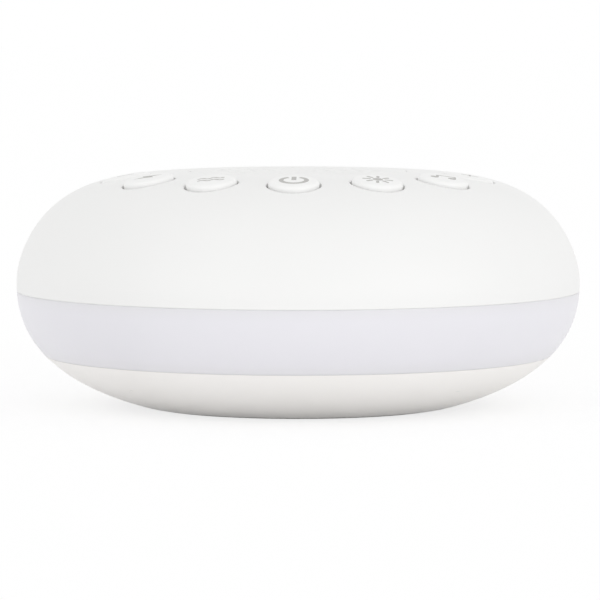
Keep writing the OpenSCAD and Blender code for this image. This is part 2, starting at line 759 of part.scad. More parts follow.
module chamber_screws() color("silver") for (a = chamber_angles) at_angle(a, ear_ring_r) {
    translate([0, 0, ceiling_z - ear_drop - ear_t]) screw(board_screw, ear_screw_length);
}

// Rubber bush that seals the leads where they leave the chamber
module lead_grommet() color("#222224") {
    collar_t = 0.8;
    length = 4.6;
    translate([0, chamber_out_r + collar_t, lead_hole_z]) rotate([90, 0, 0]) difference() {
        union() {
            post(lead_hole_r - 0.05, 0, length);
            post(lead_hole_r + 0.8, 0, collar_t);
        }
        for (x = [-lead_gap, lead_gap]) translate([x, 0, 0]) post(lead_r + 0.07, -over, length + 2 * over);
    }
}

// ---- light ----

// White cone that turns the lamps' light out through the band, with pockets over the screws
module reflector_ring() color("#fafafa") difference() {
    foot_z = led_top_z + reflector_gap;
    inner_r = led_board_in_r - 1;
    rotate_extrude($fn = fine) polygon([
        [inner_r, foot_z],
        [inner_r + reflector_foot_w, foot_z],
        [led_board_in_r + reflector_lean, led_top_z + reflector_h],
        [led_board_in_r + reflector_lean, led_top_z + reflector_h + reflector_t],
        [led_board_in_r + reflector_lean - 1.2, led_top_z + reflector_h + reflector_t],
        [inner_r, led_top_z + reflector_t]]);
    led_spots() post(lamp_screw[1] + 0.3, led_top_z, lamp_screw[2] + 0.4);
}

module led_board() color("#f2f2ef") difference() {
    ring(led_board_in_r, led_board_out_r, led_board_z, board_t);
    led_spots() post(lamp_screw[0] + 0.25, led_board_z - over, board_t + 2 * over);
}

module leds() color("#f6efc8") for (i = [0 : led_count - 1]) rotate([0, 0, (i + 0.5) * 360 / led_count]) {
    translate([led_r - led_size[0] / 2, -led_size[1] / 2, led_top_z]) cube(led_size);
}

module led_board_screws() color("silver") led_spots() {
    translate([0, 0, led_top_z]) mirror([0, 0, 1]) screw(lamp_screw, led_screw_length);
}

// ---- boards and battery ----

module main_board() color(board_green) difference() {
    translate([0, 0, main_board_z]) cylinder(r = main_board_r, h = main_board_t, $fn = fine);
    for (a = post_angles) at_angle(a, post_ring_r) {
        post(post_r + post_clearance, main_board_z - over, main_board_t + 2 * over);
    }
    for (p = main_post_spots) translate(p) post(board_hole_r, main_board_z - over, main_board_t + 2 * over);
}

module main_board_screws() color("silver") for (p = main_post_spots) translate([p[0], p[1], main_top_z]) {
    mirror([0, 0, 1]) screw(board_screw, main_screw_length);
}

// Controller, memory, amplifier and charger, each a flat black package with a pin-one dimple
module board_chips() color("#232427") for (c = chips) {
    corner = [c[0] - c[2] / 2, c[1] - c[3] / 2];
    difference() {
        translate([corner[0], corner[1], main_top_z]) cube([c[2], c[3], c[4]]);
        translate(corner + pin_mark_inset * [1, 1]) {
            post(pin_mark_r, main_top_z + c[4] - pin_mark_depth, over);
        }
    }
}

module capacitors() color("#4a4d55") for (p = capacitor_spots) translate(p) {
    post(capacitor_r, main_top_z, capacitor_h);
}

// White plug sockets for the ribbon and the four pairs of leads
module board_connectors() color("#f3f1ea") for (c = connectors) {
    translate([c[0], c[1], main_top_z]) cube([c[2], c[3], connector_h]);
}

// Flat rechargeable cell with rounded corners, on a foam pad and under two straps
module cell_outline(inset = 0) {
    shrink = 2 * battery_corner + inset;
    offset(r = battery_corner, $fn = coarse) {
        square([battery[0] - shrink, battery[1] - shrink], center = true);
    }
}

module battery_cell() color("#c9ccd2") translate([0, 0, battery_z]) {
    linear_extrude(battery[2]) cell_outline();
}

module battery_pad() color("#4b4b4e") translate([0, 0, floor_top_z]) {
    linear_extrude(pad_t) cell_outline(pad_inset);
}

// Two straps over the cell, each with a leg at both ends down to its posts
module battery_bracket() color("#dcdad5") difference() {
    half_w = strap_w / 2;
    union() {
        for (x = [-strap_x, strap_x]) translate([x - half_w, -strap_y - half_w, battery_top_z]) {
            cube([strap_w, 2 * strap_y + strap_w, strap_t]);
        }
        strap_spots() translate([-half_w, -half_w, strap_post_z]) {
            cube([strap_w, strap_w, battery_top_z - strap_post_z + eps]);
        }
    }
    strap_spots() post(strap_hole_r, 0, tall);
}

module bracket_screws() color("silver") strap_spots() translate([0, 0, battery_top_z + strap_t]) {
    mirror([0, 0, 1]) screw(board_screw, strap_screw_length);
}

// ---- inlet ----

module inlet_board() color(board_green) difference() {
    translate([-inlet_board_size[0] / 2, inlet_board_y, inlet_board_low_z]) cube(inlet_board_size);
    for (x = [-inlet_post_x, inlet_post_x]) translate([x, inlet_post_y, 0]) post(board_hole_r, 0, tall);
}

module inlet_shell() color("silver") difference() {
    inlet_slot(inlet_size, inlet_back_y, inlet_size[1]);
    inlet_slot(inlet_bore, inlet_back_y - over, inlet_size[1] + 2 * over);
}

module inlet_tongue() color("#1c1c1e") {
    inlet_slot(inlet_bore, inlet_back_y, inlet_back_t);
    translate([-tongue[0] / 2, inlet_back_y + inlet_back_t - 0.6, inlet_z - tongue[2] / 2]) cube(tongue);
}

module inlet_screws() color("silver") for (x = [-inlet_post_x, inlet_post_x]) {
    translate([x, inlet_post_y, inlet_board_low_z]) screw(board_screw, board_screw_length);
}

// ---- inner leads ----

// A pair of leads side by side, in two colours
module lead_pair(route, across, first, second) {
    color(first) translate(lead_gap * across) lead(route, across);
    color(second) translate(-lead_gap * across) lead(route, across);
}

module key_ribbon() color("#b9793c") rotate([90, 0, 90]) translate([0, 0, -ribbon_w / 2]) {
    linear_extrude(ribbon_w) polygon(ribbon_edge);
}

module speaker_leads() lead_pair(speaker_route, [1, 0, 0], wire_red, wire_black);
module battery_leads() lead_pair(battery_route, [0, 1, 0], wire_red, wire_black);
module led_leads() lead_pair(led_route, [0, 1, 0], "#f0f0f0", "#d8b030");
module inlet_leads() lead_pair(inlet_route, [1, 0, 0], wire_red, wire_black);

module case_screws() color("silver") for (a = post_angles) at_angle(a, post_ring_r) {
    translate([0, 0, case_head_z]) screw(case_screw, case_screw_length);
}

// ---- the assembly, one line for each node ----

top_shell();
speaker_grille();
dust_mesh();
light_band();
base_shell();
foot_ring();
button_power();
button_wave();
button_light();
button_flash();
button_melody();
button_minus();
button_plus();
plunger_power();
plunger_wave();
plunger_light();
plunger_flash();
plunger_melody();
plunger_minus();
plunger_plus();
button_board();
key_switches();
button_board_screws();
speaker_gasket();
speaker_frame();
speaker_surround();
speaker_cone();
speaker_dust_cap();
voice_coil();
speaker_spider();
speaker_top_plate();
speaker_magnet();
speaker_yoke();
speaker_chamber();
chamber_screws();
lead_grommet();
reflector_ring();
led_board();
leds();
led_board_screws();
main_board();
main_board_screws();
board_chips();
capacitors();
board_connectors();
battery_cell();
battery_pad();
battery_bracket();
bracket_screws();
inlet_board();
inlet_shell();
inlet_tongue();
inlet_screws();
key_ribbon();
speaker_leads();
battery_leads();
led_leads();
inlet_leads();
case_screws();
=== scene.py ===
# %% [markdown]
# # A round bedside sound machine
#
# The object is a flat white pebble, 112 mm across. Its housing is a dome, a milky light
# band and a shallow base. Seven push buttons stand in an arc on the front of the dome, and
# a loudspeaker fires up through a perforated disc in its middle. This script dresses the
# packed construction: it makes smooth shells with rolled edges, printed signs and finishes,
# and leaves every size where the construction has it.

import json
from math import acos, asin, atan2, cos, degrees, hypot, pi, radians, sin

import bmesh
import bpy
from mathutils import Matrix, Vector
from mathutils.geometry import delaunay_2d_cdt


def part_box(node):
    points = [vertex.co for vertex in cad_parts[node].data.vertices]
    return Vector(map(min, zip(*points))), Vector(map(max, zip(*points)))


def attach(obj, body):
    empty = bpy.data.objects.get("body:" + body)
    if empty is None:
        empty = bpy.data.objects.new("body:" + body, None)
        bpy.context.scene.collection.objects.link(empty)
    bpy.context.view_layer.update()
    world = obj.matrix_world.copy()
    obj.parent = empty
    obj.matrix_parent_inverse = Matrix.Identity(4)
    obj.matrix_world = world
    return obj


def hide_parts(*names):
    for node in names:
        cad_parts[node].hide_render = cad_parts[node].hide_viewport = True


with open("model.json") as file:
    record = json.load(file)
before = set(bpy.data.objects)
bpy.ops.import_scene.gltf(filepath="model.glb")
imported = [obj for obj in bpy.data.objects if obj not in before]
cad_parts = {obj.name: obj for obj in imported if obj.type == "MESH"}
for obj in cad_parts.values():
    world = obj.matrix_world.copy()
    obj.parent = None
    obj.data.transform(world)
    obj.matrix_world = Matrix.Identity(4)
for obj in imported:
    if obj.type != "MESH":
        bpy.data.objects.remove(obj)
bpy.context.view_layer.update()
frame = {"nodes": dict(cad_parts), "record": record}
nodes = frame["nodes"]

# %% [markdown]
# ## Measures
#
# Shapes are worked out in millimetres and turned to metres when a mesh is made. Sizes that
# the frame can tell are read from the nodes' boxes. The rest repeat the construction's own
# driving dimensions. The outline could be a drawn curve, but the real body is two squashed
# superellipses that meet at the widest level, so two short formulas give it everywhere, and
# the inner skin is the same curve with the wall's thickness taken off.

# %% Sizes from the frame
MM = 0.001


def box_mm(name):
    """Lowest and highest corner of a node, in millimetres."""
    low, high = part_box(name)
    return low / MM, high / MM


band_low, band_high = box_mm("light_band")
base_low, base_high = box_mm("base_shell")
grille_low, grille_high = box_mm("speaker_grille")
foot_high = box_mm("foot_ring")[1]
BODY_R = box_mm("top_shell")[1].x
BAND_BOTTOM, BAND_TOP = band_low.z, band_high.z
FOOT_GAP = base_low.z
GRILLE_R = grille_high.x
GRILLE_T = grille_high.z - grille_low.z
print(f"body radius {BODY_R:.2f}, band {BAND_BOTTOM:.1f} to {BAND_TOP:.1f}, disc radius {GRILLE_R:.1f} mm")

# %% Sizes of the outline and the walls
WIDEST_Z = 25.2
UPPER_H = 21.5
LOWER_H = 28.2
SHOULDER_POWER = 5.35
RISE_POWER = 1.63
BELLY_POWER = 2.34
DROP_POWER = 2.42
WALL = 2.2
AROUND = 256
CURVE_STEPS = 40


def upper_point(t, inset=0.0):
    """Radius and height on the upper curve, at angle t from the widest level to the top."""
    return ((BODY_R - inset) * max(cos(t), 0.0) ** (2 / SHOULDER_POWER),
            WIDEST_Z + (UPPER_H - inset) * sin(t) ** (2 / RISE_POWER))


def lower_point(t, inset=0.0):
    """Radius and height on the lower curve, at angle t from the widest level down."""
    return ((BODY_R - inset) * max(cos(t), 0.0) ** (2 / BELLY_POWER),
            WIDEST_Z - (LOWER_H - inset) * sin(t) ** (2 / DROP_POWER))


def upper_angle(r, inset=0.0):
    """Angle on the upper curve at which it has a radius."""
    return acos((r / (BODY_R - inset)) ** (SHOULDER_POWER / 2))


def lower_angle(z, inset=0.0):
    """Angle on the lower curve at which it has a height."""
    return asin(((WIDEST_Z - z) / (LOWER_H - inset)) ** (DROP_POWER / 2))


def top_z(r, inset=0.0):
    """Height of the dome's skin at a radius. An inset gives the skin inside it."""
    return upper_point(upper_angle(r, inset), inset)[1]


def lower_r(z, inset=0.0):
    """Radius of the lower skin at a height."""
    return lower_point(lower_angle(z, inset), inset)[0]


def lower_curve(z_from, z_to, inset=0.0, steps=CURVE_STEPS):
    """Points of the lower curve from one height up or down to another."""
    a, b = lower_angle(z_from, inset), lower_angle(z_to, inset)
    return [lower_point(a + (b - a) * i / steps, inset) for i in range(steps + 1)]


def upper_curve(r_from, r_to, inset=0.0, steps=CURVE_STEPS):
    """Points of the upper curve from one radius to another."""
    a, b = upper_angle(r_from, inset), upper_angle(r_to, inset)
    return [upper_point(a + (b - a) * i / steps, inset) for i in range(steps + 1)]


print(f"the dome stands {top_z(0):.1f} mm high at its axis")

# %% [markdown]
# ## The camera
#
# The photograph was taken with a long lens from a little above the table. The angle, the
# distance and the focal length below were found by fitting the outline, the two seams and
# the buttons to it. The camera stands level with the body's middle as seen along that angle
# and is turned down a little, which puts the body a little above the middle of the frame.

# %% Place the camera
CAMERA_DISTANCE = 838
CAMERA_ELEVATION = radians(3.94)
CAMERA_TURN = radians(1.3)
CAMERA_LENS = 252.2
SENSOR_WIDTH = 36
MIDDLE_Z = 22.9
AIM_RIGHT = 0.37
AIM_DOWN = 2.06

back = Vector((sin(CAMERA_TURN) * cos(CAMERA_ELEVATION),
               -cos(CAMERA_TURN) * cos(CAMERA_ELEVATION),
               sin(CAMERA_ELEVATION)))
middle = Vector((0, 0, MIDDLE_Z))
stand = middle + back * CAMERA_DISTANCE
aim = middle + (-back).to_track_quat("-Z", "Y") @ Vector((AIM_RIGHT, -AIM_DOWN, 0))
camera = bpy.data.objects.new("camera", bpy.data.cameras.new("camera"))
bpy.context.scene.collection.objects.link(camera)
camera.data.lens = CAMERA_LENS
camera.data.sensor_width = SENSOR_WIDTH
camera.location = stand * MM
camera.rotation_mode = "QUATERNION"
camera.rotation_quaternion = (aim - stand).to_track_quat("-Z", "Y")
camera.data.clip_start = 0.05
camera.data.clip_end = 20
bpy.context.scene.camera = camera
bpy.context.scene.view_settings.view_transform = "Standard"
print("camera at", [round(c, 3) for c in camera.location])

# %% [markdown]
# ## One helper for every node
#
# Shader trees and geometry trees are both graphs of nodes. One small function adds a node,
# sets what it is told, and links or fills its sockets, so a whole tree reads from top to
# bottom. Where it is handed a whole node, it links that node's first output. Colours are
# written as sRGB hex values, as a colour picker shows them, and turned to linear light in
# one place.


# %% Node and colour helpers
def add(tree, kind, inputs=None, **settings):
    """Adds one node. Each input is filled with a value, or linked to a node or a socket."""
    made = tree.nodes.new(kind)
    for name, value in settings.items():
        setattr(made, name, value)
    for key, value in (inputs or {}).items():
        if isinstance(value, bpy.types.Node):
            value = value.outputs[0]
        if isinstance(value, bpy.types.NodeSocket):
            tree.links.new(value, made.inputs[key])
        else:
            made.inputs[key].default_value = value
    return made


def linear(hex_colour):
    """sRGB hex to linear red, green, blue and alpha."""
    parts = [int(hex_colour[i:i + 2], 16) / 255 for i in (1, 3, 5)]
    return [p / 12.92 if p <= 0.04045 else ((p + 0.055) / 1.055) ** 2.4 for p in parts] + [1.0]


print("mid grey in linear light:", round(linear("#808080")[0], 3))


# %% [markdown]
# ## The table and the light
#
# The photograph has a pure white ground, a very soft and pale shadow, and light from both
# sides, stronger on the right. The ground is a pale floor. The camera and reflections see
# it mixed with plain white, which keeps the shadow but makes it as pale as that in the
# photograph, while the light that it throws up under the body is that of plain paper. That
# white is a touch over 1, so that floor and white together come to 1 away from the shadow.
# The world is white to the camera and to reflections, and a softer grey to the rest.


# %% What the camera, reflections and clear plastic see
def seen_directly(tree):
    """A socket that is 1 for the rays of the camera, of reflections and of clear materials."""
    path = add(tree, "ShaderNodeLightPath")
    kinds = [path.outputs[kind] for kind in ("Is Camera Ray", "Is Glossy Ray", "Is Transmission Ray")]
    two = add(tree, "ShaderNodeMath", {0: kinds[0], 1: kinds[1]}, operation="MAXIMUM")
    return add(tree, "ShaderNodeMath", {0: two, 1: kinds[2]}, operation="MAXIMUM").outputs[0]


# %% Floor
FLOOR_SIZE = 12.0
FLOOR_WHITE = 0.72
PLAIN_WHITE = 1.04
floor_mesh = bpy.data.meshes.new("floor")
half = FLOOR_SIZE / 2
floor_mesh.from_pydata([(-half, -half, 0), (half, -half, 0), (half, half, 0), (-half, half, 0)],
                       [], [(0, 1, 2, 3)])
floor = bpy.data.objects.new("floor", floor_mesh)
bpy.context.scene.collection.objects.link(floor)
paper = bpy.data.materials.new("pale_paper_sweep")
paper.use_nodes = True
tree = paper.node_tree
tree.nodes.clear()
share = add(tree, "ShaderNodeMath", {0: seen_directly(tree), 1: FLOOR_WHITE}, operation="MULTIPLY")
matt = add(tree, "ShaderNodeBsdfDiffuse", {"Color": linear("#fefefe"), "Roughness": 0.0})
white = add(tree, "ShaderNodeEmission", {"Color": linear("#ffffff"), "Strength": PLAIN_WHITE})
pick = add(tree, "ShaderNodeMixShader", {0: share, 1: matt, 2: white})
add(tree, "ShaderNodeOutputMaterial", {"Surface": pick})
floor_mesh.materials.append(paper)
print("floor", FLOOR_SIZE, "m square")

# %% World
SKY_STRENGTH = 0.86
world = bpy.data.worlds.new("studio")
bpy.context.scene.world = world
world.use_nodes = True
tree = world.node_tree
tree.nodes.clear()
soft = add(tree, "ShaderNodeBackground", {"Color": linear("#ffffff"), "Strength": SKY_STRENGTH})
white = add(tree, "ShaderNodeBackground", {"Color": linear("#ffffff"), "Strength": 1.0})
pick = add(tree, "ShaderNodeMixShader", {0: seen_directly(tree), 1: soft, 2: white})
add(tree, "ShaderNodeOutputWorld", {"Surface": pick})

# %% Lamps
LAMPS = {
    "lamp_right": dict(place=(560, -560, 90), strength=0.64),
    "lamp_left": dict(place=(-500, -600, 90), strength=0.3),
}
LAMP_SPREAD = radians(44)


def broad_lamp(name, place, strength):
    """A far, broad lamp that shines from a direction, given as a point in millimetres."""
    lamp = bpy.data.lights.new(name, "SUN")
    lamp.energy, lamp.angle = strength, LAMP_SPREAD
    made = bpy.data.objects.new(name, lamp)
    bpy.context.scene.collection.objects.link(made)
    made.location = Vector(place) * MM
    made.rotation_mode = "QUATERNION"
    made.rotation_quaternion = (Vector((0, 0, MIDDLE_Z)) - Vector(place)).to_track_quat("-Z", "Y")
    return made


for name, facts in LAMPS.items():
    broad_lamp(name, **facts)
print(len(LAMPS), "lamps")

# %% [markdown]
# ## Finishes
#
# Almost all that shows is white plastic, so the finishes differ in small things: how broad
# the sheen is, how warm the white is, and how fine the surface grain. Each finish starts
# from the real material's reflectance and roughness. A flat colour would look like a
# drawing, and a picture of a texture would have a seam somewhere, so each finish is made of
# noise in the object's own coordinates. The grain has the size that spark-eroded moulds
# leave, drawn a little coarser so that it can show, and works through bump and roughness.


# %% Start of every finish
def finish(name, colour, roughness, ior=1.5, metallic=0.0):
    """A material with its shader, and the object's own coordinates to lay patterns on."""
    made = bpy.data.materials.new(name)
    made.use_nodes = True
    tree = made.node_tree
    tree.nodes.clear()
    shader = add(tree, "ShaderNodeBsdfPrincipled",
                 {"Base Color": linear(colour), "Roughness": roughness, "IOR": ior, "Metallic": metallic})
    add(tree, "ShaderNodeOutputMaterial", {"Surface": shader})
    place = add(tree, "ShaderNodeTexCoord").outputs["Object"]
    return made, tree, shader, place


def tint(tree, shader, share, colour, other):
    """Base colour between two tones: the first where share is 0, the other where it is 1."""
    mix = add(tree, "ShaderNodeMix", {0: share, 6: linear(colour), 7: linear(other)}, data_type="RGBA")
    tree.links.new(mix.outputs[2], shader.inputs["Base Color"])


def emboss(tree, shader, height, depth):
    """Bump from a height between 0 and 1, of a depth in millimetres."""
    bump = add(tree, "ShaderNodeBump", {"Height": height, "Distance": depth * MM, "Strength": 1.0})
    tree.links.new(bump.outputs[0], shader.inputs["Normal"])


def grain(tree, shader, place, size, depth, stretch=(1, 1, 1)):
    """Surface grain of a size and depth in millimetres, as bump."""
    scaled = add(tree, "ShaderNodeMapping", {"Vector": place, "Scale": stretch})
    noise = add(tree, "ShaderNodeTexNoise",
                {"Vector": scaled, "Scale": 1 / (size * MM), "Detail": 3.0, "Roughness": 0.6})
    emboss(tree, shader, noise.outputs[0], depth)
    return noise.outputs[0]


def drift(tree, shader, place, colour, other, size):
    """Slow change of colour over the surface, between two near tones."""
    noise = add(tree, "ShaderNodeTexNoise", {"Vector": place, "Scale": 1 / (size * MM), "Detail": 2.0})
    tint(tree, shader, noise.outputs[0], colour, other)


def plain(name, colour, other, roughness, size, depth, spread=None, stretch=(1, 1, 1), **physics):
    """A finish that drifts between two tones and has an even grain. Sizes are in millimetres."""
    made, tree, shader, place = finish(name, colour, roughness, **physics)
    drift(tree, shader, place, colour, other, spread or size * 6)
    grain(tree, shader, place, size, depth, stretch)
    return made


print("finish helpers ready")

# %% [markdown]
# The outer shells are three whites. The dome is ABS straight from a mould with a fine
# spark-eroded texture, so its sheen is broad and soft. The band is polycarbonate with a
# little white pigment: light goes a short way in and comes out again, which makes it look
# slightly lilac beside the dome. A share of subsurface scattering gives that softness. The
# band also has painted shade: a darker tone that follows the height, towards its edges.
# The base is a warmer white, and its brightness is partly painted light for its shaded underside.


# %% Finishes of the outer shells
def satin_abs_shell():
    """ABS from a spark-eroded mould: broad soft sheen, very fine grain, hardly any colour change."""
    made, tree, shader, place = finish("satin_abs_shell", "#f5f5f4", 0.46, ior=1.52)
    drift(tree, shader, place, "#f6f6f5", "#f3f3f2", 26)
    noise = grain(tree, shader, place, 0.45, 0.006)
    rough = add(tree, "ShaderNodeMapRange", {"Value": noise, "To Min": 0.42, "To Max": 0.52})
    tree.links.new(rough.outputs[0], shader.inputs["Roughness"])
    return made


def milky_polycarbonate_band():
    """Pigmented polycarbonate: light enters and scatters, so shades stay soft and slightly lilac. Painted
    shade darkens its edges.
    """
    made, tree, shader, place = finish("milky_polycarbonate_band", "#ecebf0", 0.38, ior=1.58)
    height = add(tree, "ShaderNodeSeparateXYZ", {"Vector": place}).outputs["Z"]
    middle = (BAND_BOTTOM + BAND_TOP) / 2 * MM
    reach = (BAND_TOP - BAND_BOTTOM) / 2 * MM
    away = add(tree, "ShaderNodeMath", {0: height, 1: middle}, operation="SUBTRACT")
    away = add(tree, "ShaderNodeMath", {0: away}, operation="ABSOLUTE")
    # painted shade: a mask that grows towards the band's upper and lower edges
    edge = add(tree, "ShaderNodeMapRange",
               {"Value": away, "From Min": 0.55 * reach, "From Max": reach},
               interpolation_type="SMOOTHSTEP")
    cloud = add(tree, "ShaderNodeTexNoise", {"Vector": place, "Scale": 1 / (14 * MM), "Detail": 2.0})
    body = add(tree, "ShaderNodeMix", {0: cloud, 6: linear("#edecf1"), 7: linear("#ebeaef")},
               data_type="RGBA")
    # painted shade: the band's edges take this darker tone
    mix = add(tree, "ShaderNodeMix", {0: edge, 6: body.outputs[2], 7: linear("#eae9ed")},
              data_type="RGBA")
    tree.links.new(mix.outputs[2], shader.inputs["Base Color"])
    shader.subsurface_method = "RANDOM_WALK"
    shader.inputs["Subsurface Weight"].default_value = 0.35
    shader.inputs["Subsurface Radius"].default_value = (1.0, 0.95, 1.0)
    shader.inputs["Subsurface Scale"].default_value = 1.2 * MM
    grain(tree, shader, place, 0.6, 0.003)
    return made


def printing_ink(name, colour):
    """Pad-printed ink: a thin matt film that breaks up slightly at its edges."""
    made, tree, shader, place = finish(name, colour, 0.55)
    noise = grain(tree, shader, place, 0.12, 0.002)
    tint(tree, shader, noise, colour, "#c6c5c2")
    return made


satin_abs = satin_abs_shell()
milky_polycarbonate = milky_polycarbonate_band()
grey_ink = printing_ink("grey_ink", "#b2b1ae")
# Moulded ABS of a warmer white than the dome, with the same fine texture. The warm tone is its own; its
# near-full brightness is painted light that lifts the underside lying in shade.
warm_abs = plain("warm_abs_base", "#fefcfa", "#fcfaf7", 0.5, 0.45, 0.006, spread=26, ior=1.52)
# ABS from a polished mould: smoother than the dome, so that edges catch the light. Its tone is painted
# whiter than the dome's, painted light that brightens the caps' lit edges.
smooth_abs = plain("smooth_abs_caps", "#f9f9f8", "#f7f7f6", 0.42, 0.3, 0.0015, spread=5, ior=1.52)
# Pale grey silicone rubber: matt, with a faint bloom of dust
silicone = plain("silicone_foot", "#dad9d5", "#cfcec9", 0.72, 0.5, 0.01, spread=4, ior=1.41)
print("six outer finishes ready")

# %% [markdown]
# ## How the pieces are made
#
# Two ways cover nearly every piece. A shell that is round about the axis is turned: a short
# list of points is swept round it. That is a rule, so a tree of Geometry Nodes does it: a
# grid's points are laid, column by column, on the profile's points and turned by their row.
# A piece that has holes where no lathe could reach is built point by point in bmesh. Every
# piece is then tidied in the same way: doubles merged, normals turned outwards, and edges
# split from smooth shading where they are sharper than a moulded radius.


# %% A tree, and what it grows
def geometry_tree(name, **inputs):
    """A tree with geometry in and out and the named inputs. Returns it and its entry's sockets."""
    tree = bpy.data.node_groups.new(name, "GeometryNodeTree")
    tree.interface.new_socket("Geometry", in_out="OUTPUT", socket_type="NodeSocketGeometry")
    tree.interface.new_socket("Geometry", in_out="INPUT", socket_type="NodeSocketGeometry")
    for label, kind in inputs.items():
        tree.interface.new_socket(label, in_out="INPUT", socket_type="NodeSocket" + kind)
    return tree, add(tree, "NodeGroupInput").outputs


def close_tree(tree, geometry, material):
    """Ends a tree: instances become mesh, and the finish is set on it."""
    real = add(tree, "GeometryNodeRealizeInstances", {"Geometry": geometry})
    dressed = add(tree, "GeometryNodeSetMaterial", {"Geometry": real, "Material": material})
    add(tree, "NodeGroupOutput", {"Geometry": dressed})


def grow(name, tree, values, points=()):
    """Runs a tree on bare points, given in millimetres, and keeps the result as a plain mesh."""
    seed = bpy.data.meshes.new(name)
    seed.from_pydata([Vector(p) * MM for p in points], [], [])
    made = bpy.data.objects.new(name, seed)
    bpy.context.scene.collection.objects.link(made)
    run = made.modifiers.new(tree.name, "NODES")
    run.node_group = tree
    for item in tree.interface.items_tree:
        if item.in_out == "INPUT" and item.name in values:
            run[item.identifier] = values[item.name]
    return baked(made)


def baked(piece):
    """Turns what a piece's modifiers show into its own plain mesh, and drops the modifiers."""
    ready = piece.evaluated_get(bpy.context.evaluated_depsgraph_get())
    mesh = bpy.data.meshes.new_from_object(ready)
    piece.modifiers.clear()
    piece.data = mesh
    mesh.name = piece.name
    return piece


# %% Tidying a piece
CREASE = 40
DOUBLES = 0.0002 * MM


def tidy(piece):
    """Merges doubles, turns normals outwards, and shades smooth but for real edges."""
    bm = bmesh.new()
    bm.from_mesh(piece.data)
    bmesh.ops.remove_doubles(bm, verts=bm.verts, dist=DOUBLES)
    bmesh.ops.dissolve_degenerate(bm, edges=bm.edges, dist=DOUBLES)
    bmesh.ops.delete(bm, geom=[e for e in bm.edges if not e.link_faces], context="EDGES")
    bmesh.ops.delete(bm, geom=[v for v in bm.verts if not v.link_edges], context="VERTS")
    bmesh.ops.recalc_face_normals(bm, faces=bm.faces)
    unclosed = sum(1 for e in bm.edges if len(e.link_faces) != 2)
    bm.to_mesh(piece.data)
    bm.free()
    piece.data.shade_smooth()
    piece.data.set_sharp_from_angle(angle=radians(CREASE))
    print(f"{piece.name}: {len(piece.data.polygons)} faces, {unclosed} unclosed edges")
    return piece


def mesh_piece(name, bm, *materials):
    """An object from a finished bmesh."""
    mesh = bpy.data.meshes.new(name)
    bm.to_mesh(mesh)
    bm.free()
    for material in materials:
        mesh.materials.append(material)
    made = bpy.data.objects.new(name, mesh)
    bpy.context.scene.collection.objects.link(made)
    return made


print("edges stay sharp from", CREASE, "degrees")

# %% The lathe
WELD = 0.001 * MM
tree, entry = geometry_tree("turned", Steps="Int", Finish="Material")
points = add(tree, "GeometryNodeAttributeDomainSize", {"Geometry": entry["Geometry"]})
columns = add(tree, "ShaderNodeMath", {0: points.outputs["Point Count"], 1: 1.0}, operation="ADD")
rows = add(tree, "ShaderNodeMath", {0: entry["Steps"], 1: 1.0}, operation="ADD")
grid = add(tree, "GeometryNodeMeshGrid", {"Vertices X": columns, "Vertices Y": rows})
index = add(tree, "GeometryNodeInputIndex")
column = add(tree, "ShaderNodeMath", {0: index, 1: rows}, operation="DIVIDE")
column = add(tree, "ShaderNodeMath", {0: column}, operation="FLOOR")
column = add(tree, "ShaderNodeMath", {0: column, 1: points.outputs["Point Count"]}, operation="MODULO")
row = add(tree, "ShaderNodeMath", {0: index, 1: rows}, operation="MODULO")
part = add(tree, "ShaderNodeMath", {0: row, 1: entry["Steps"]}, operation="DIVIDE")
angle = add(tree, "ShaderNodeMath", {0: part, 1: 2 * pi}, operation="MULTIPLY")
position = add(tree, "GeometryNodeInputPosition")
on_profile = add(tree, "GeometryNodeSampleIndex",
                 {"Geometry": entry["Geometry"], "Value": position, "Index": column},
                 data_type="FLOAT_VECTOR", domain="POINT")
swung = add(tree, "ShaderNodeVectorRotate", {"Vector": on_profile, "Angle": angle}, rotation_type="Z_AXIS")
swept = add(tree, "GeometryNodeSetPosition", {"Geometry": grid.outputs["Mesh"], "Position": swung})
welded = add(tree, "GeometryNodeMergeByDistance", {"Geometry": swept, "Distance": WELD})
close_tree(tree, welded, entry["Finish"])
turned_tree = tree


def turned(name, profile, material, steps=AROUND):
    """A closed ring or disc from a closed profile of (radius, height) points."""
    return grow(name, turned_tree, {"Steps": steps, "Finish": material}, [(r, 0, z) for r, z in profile])


def fillet(before, corner, after, radius, steps=4):
    """Points of a round corner between two straight edges that meet at corner."""
    corner = Vector(corner)
    a, b = (Vector(before) - corner).normalized(), (Vector(after) - corner).normalized()
    half = a.angle(b) / 2
    middle = corner + (a + b).normalized() * radius / sin(half)
    reach = radius * cos(half) / sin(half)
    start, end = corner + a * reach - middle, corner + b * reach - middle
    arc = start.angle(end)
    return [tuple(middle + (start * sin(arc * (1 - t)) + end * sin(arc * t)) / sin(arc))
            for t in [i / steps for i in range(steps + 1)]]


print("the lathe is ready")

# %% [markdown]
# ## Cutting holes
#
# A post that grows out of a shell, a counterbore and a slot are made as they are on the
# drawing: the shape is added or taken away with a Boolean modifier, whose result is kept.
# A Boolean leaves a sharp edge, which is right for these places, as most are out of sight.


# %% Prisms and cuts
def prism(outline, low, high):
    """A closed upright prism as a bmesh, from an outline in millimetres."""
    bm = bmesh.new()
    ends = [[bm.verts.new(Vector((x, y, z)) * MM) for x, y in outline] for z in (low, high)]
    bm.faces.new(reversed(ends[0]))
    bm.faces.new(ends[1])
    for i in range(len(outline)):
        j = (i + 1) % len(outline)
        bm.faces.new((ends[0][i], ends[0][j], ends[1][j], ends[1][i]))
    return bm


def disc_outline(x, y, r, steps=48):
    """Points of a circle in plan."""
    return [(x + r * cos(2 * pi * i / steps), y + r * sin(2 * pi * i / steps)) for i in range(steps)]


def gathered(prisms):
    """Several bmeshes joined into one."""
    whole = bmesh.new()
    for one in prisms:
        mesh = bpy.data.meshes.new("part")
        one.to_mesh(mesh)
        one.free()
        whole.from_mesh(mesh)
        bpy.data.meshes.remove(mesh)
    return whole


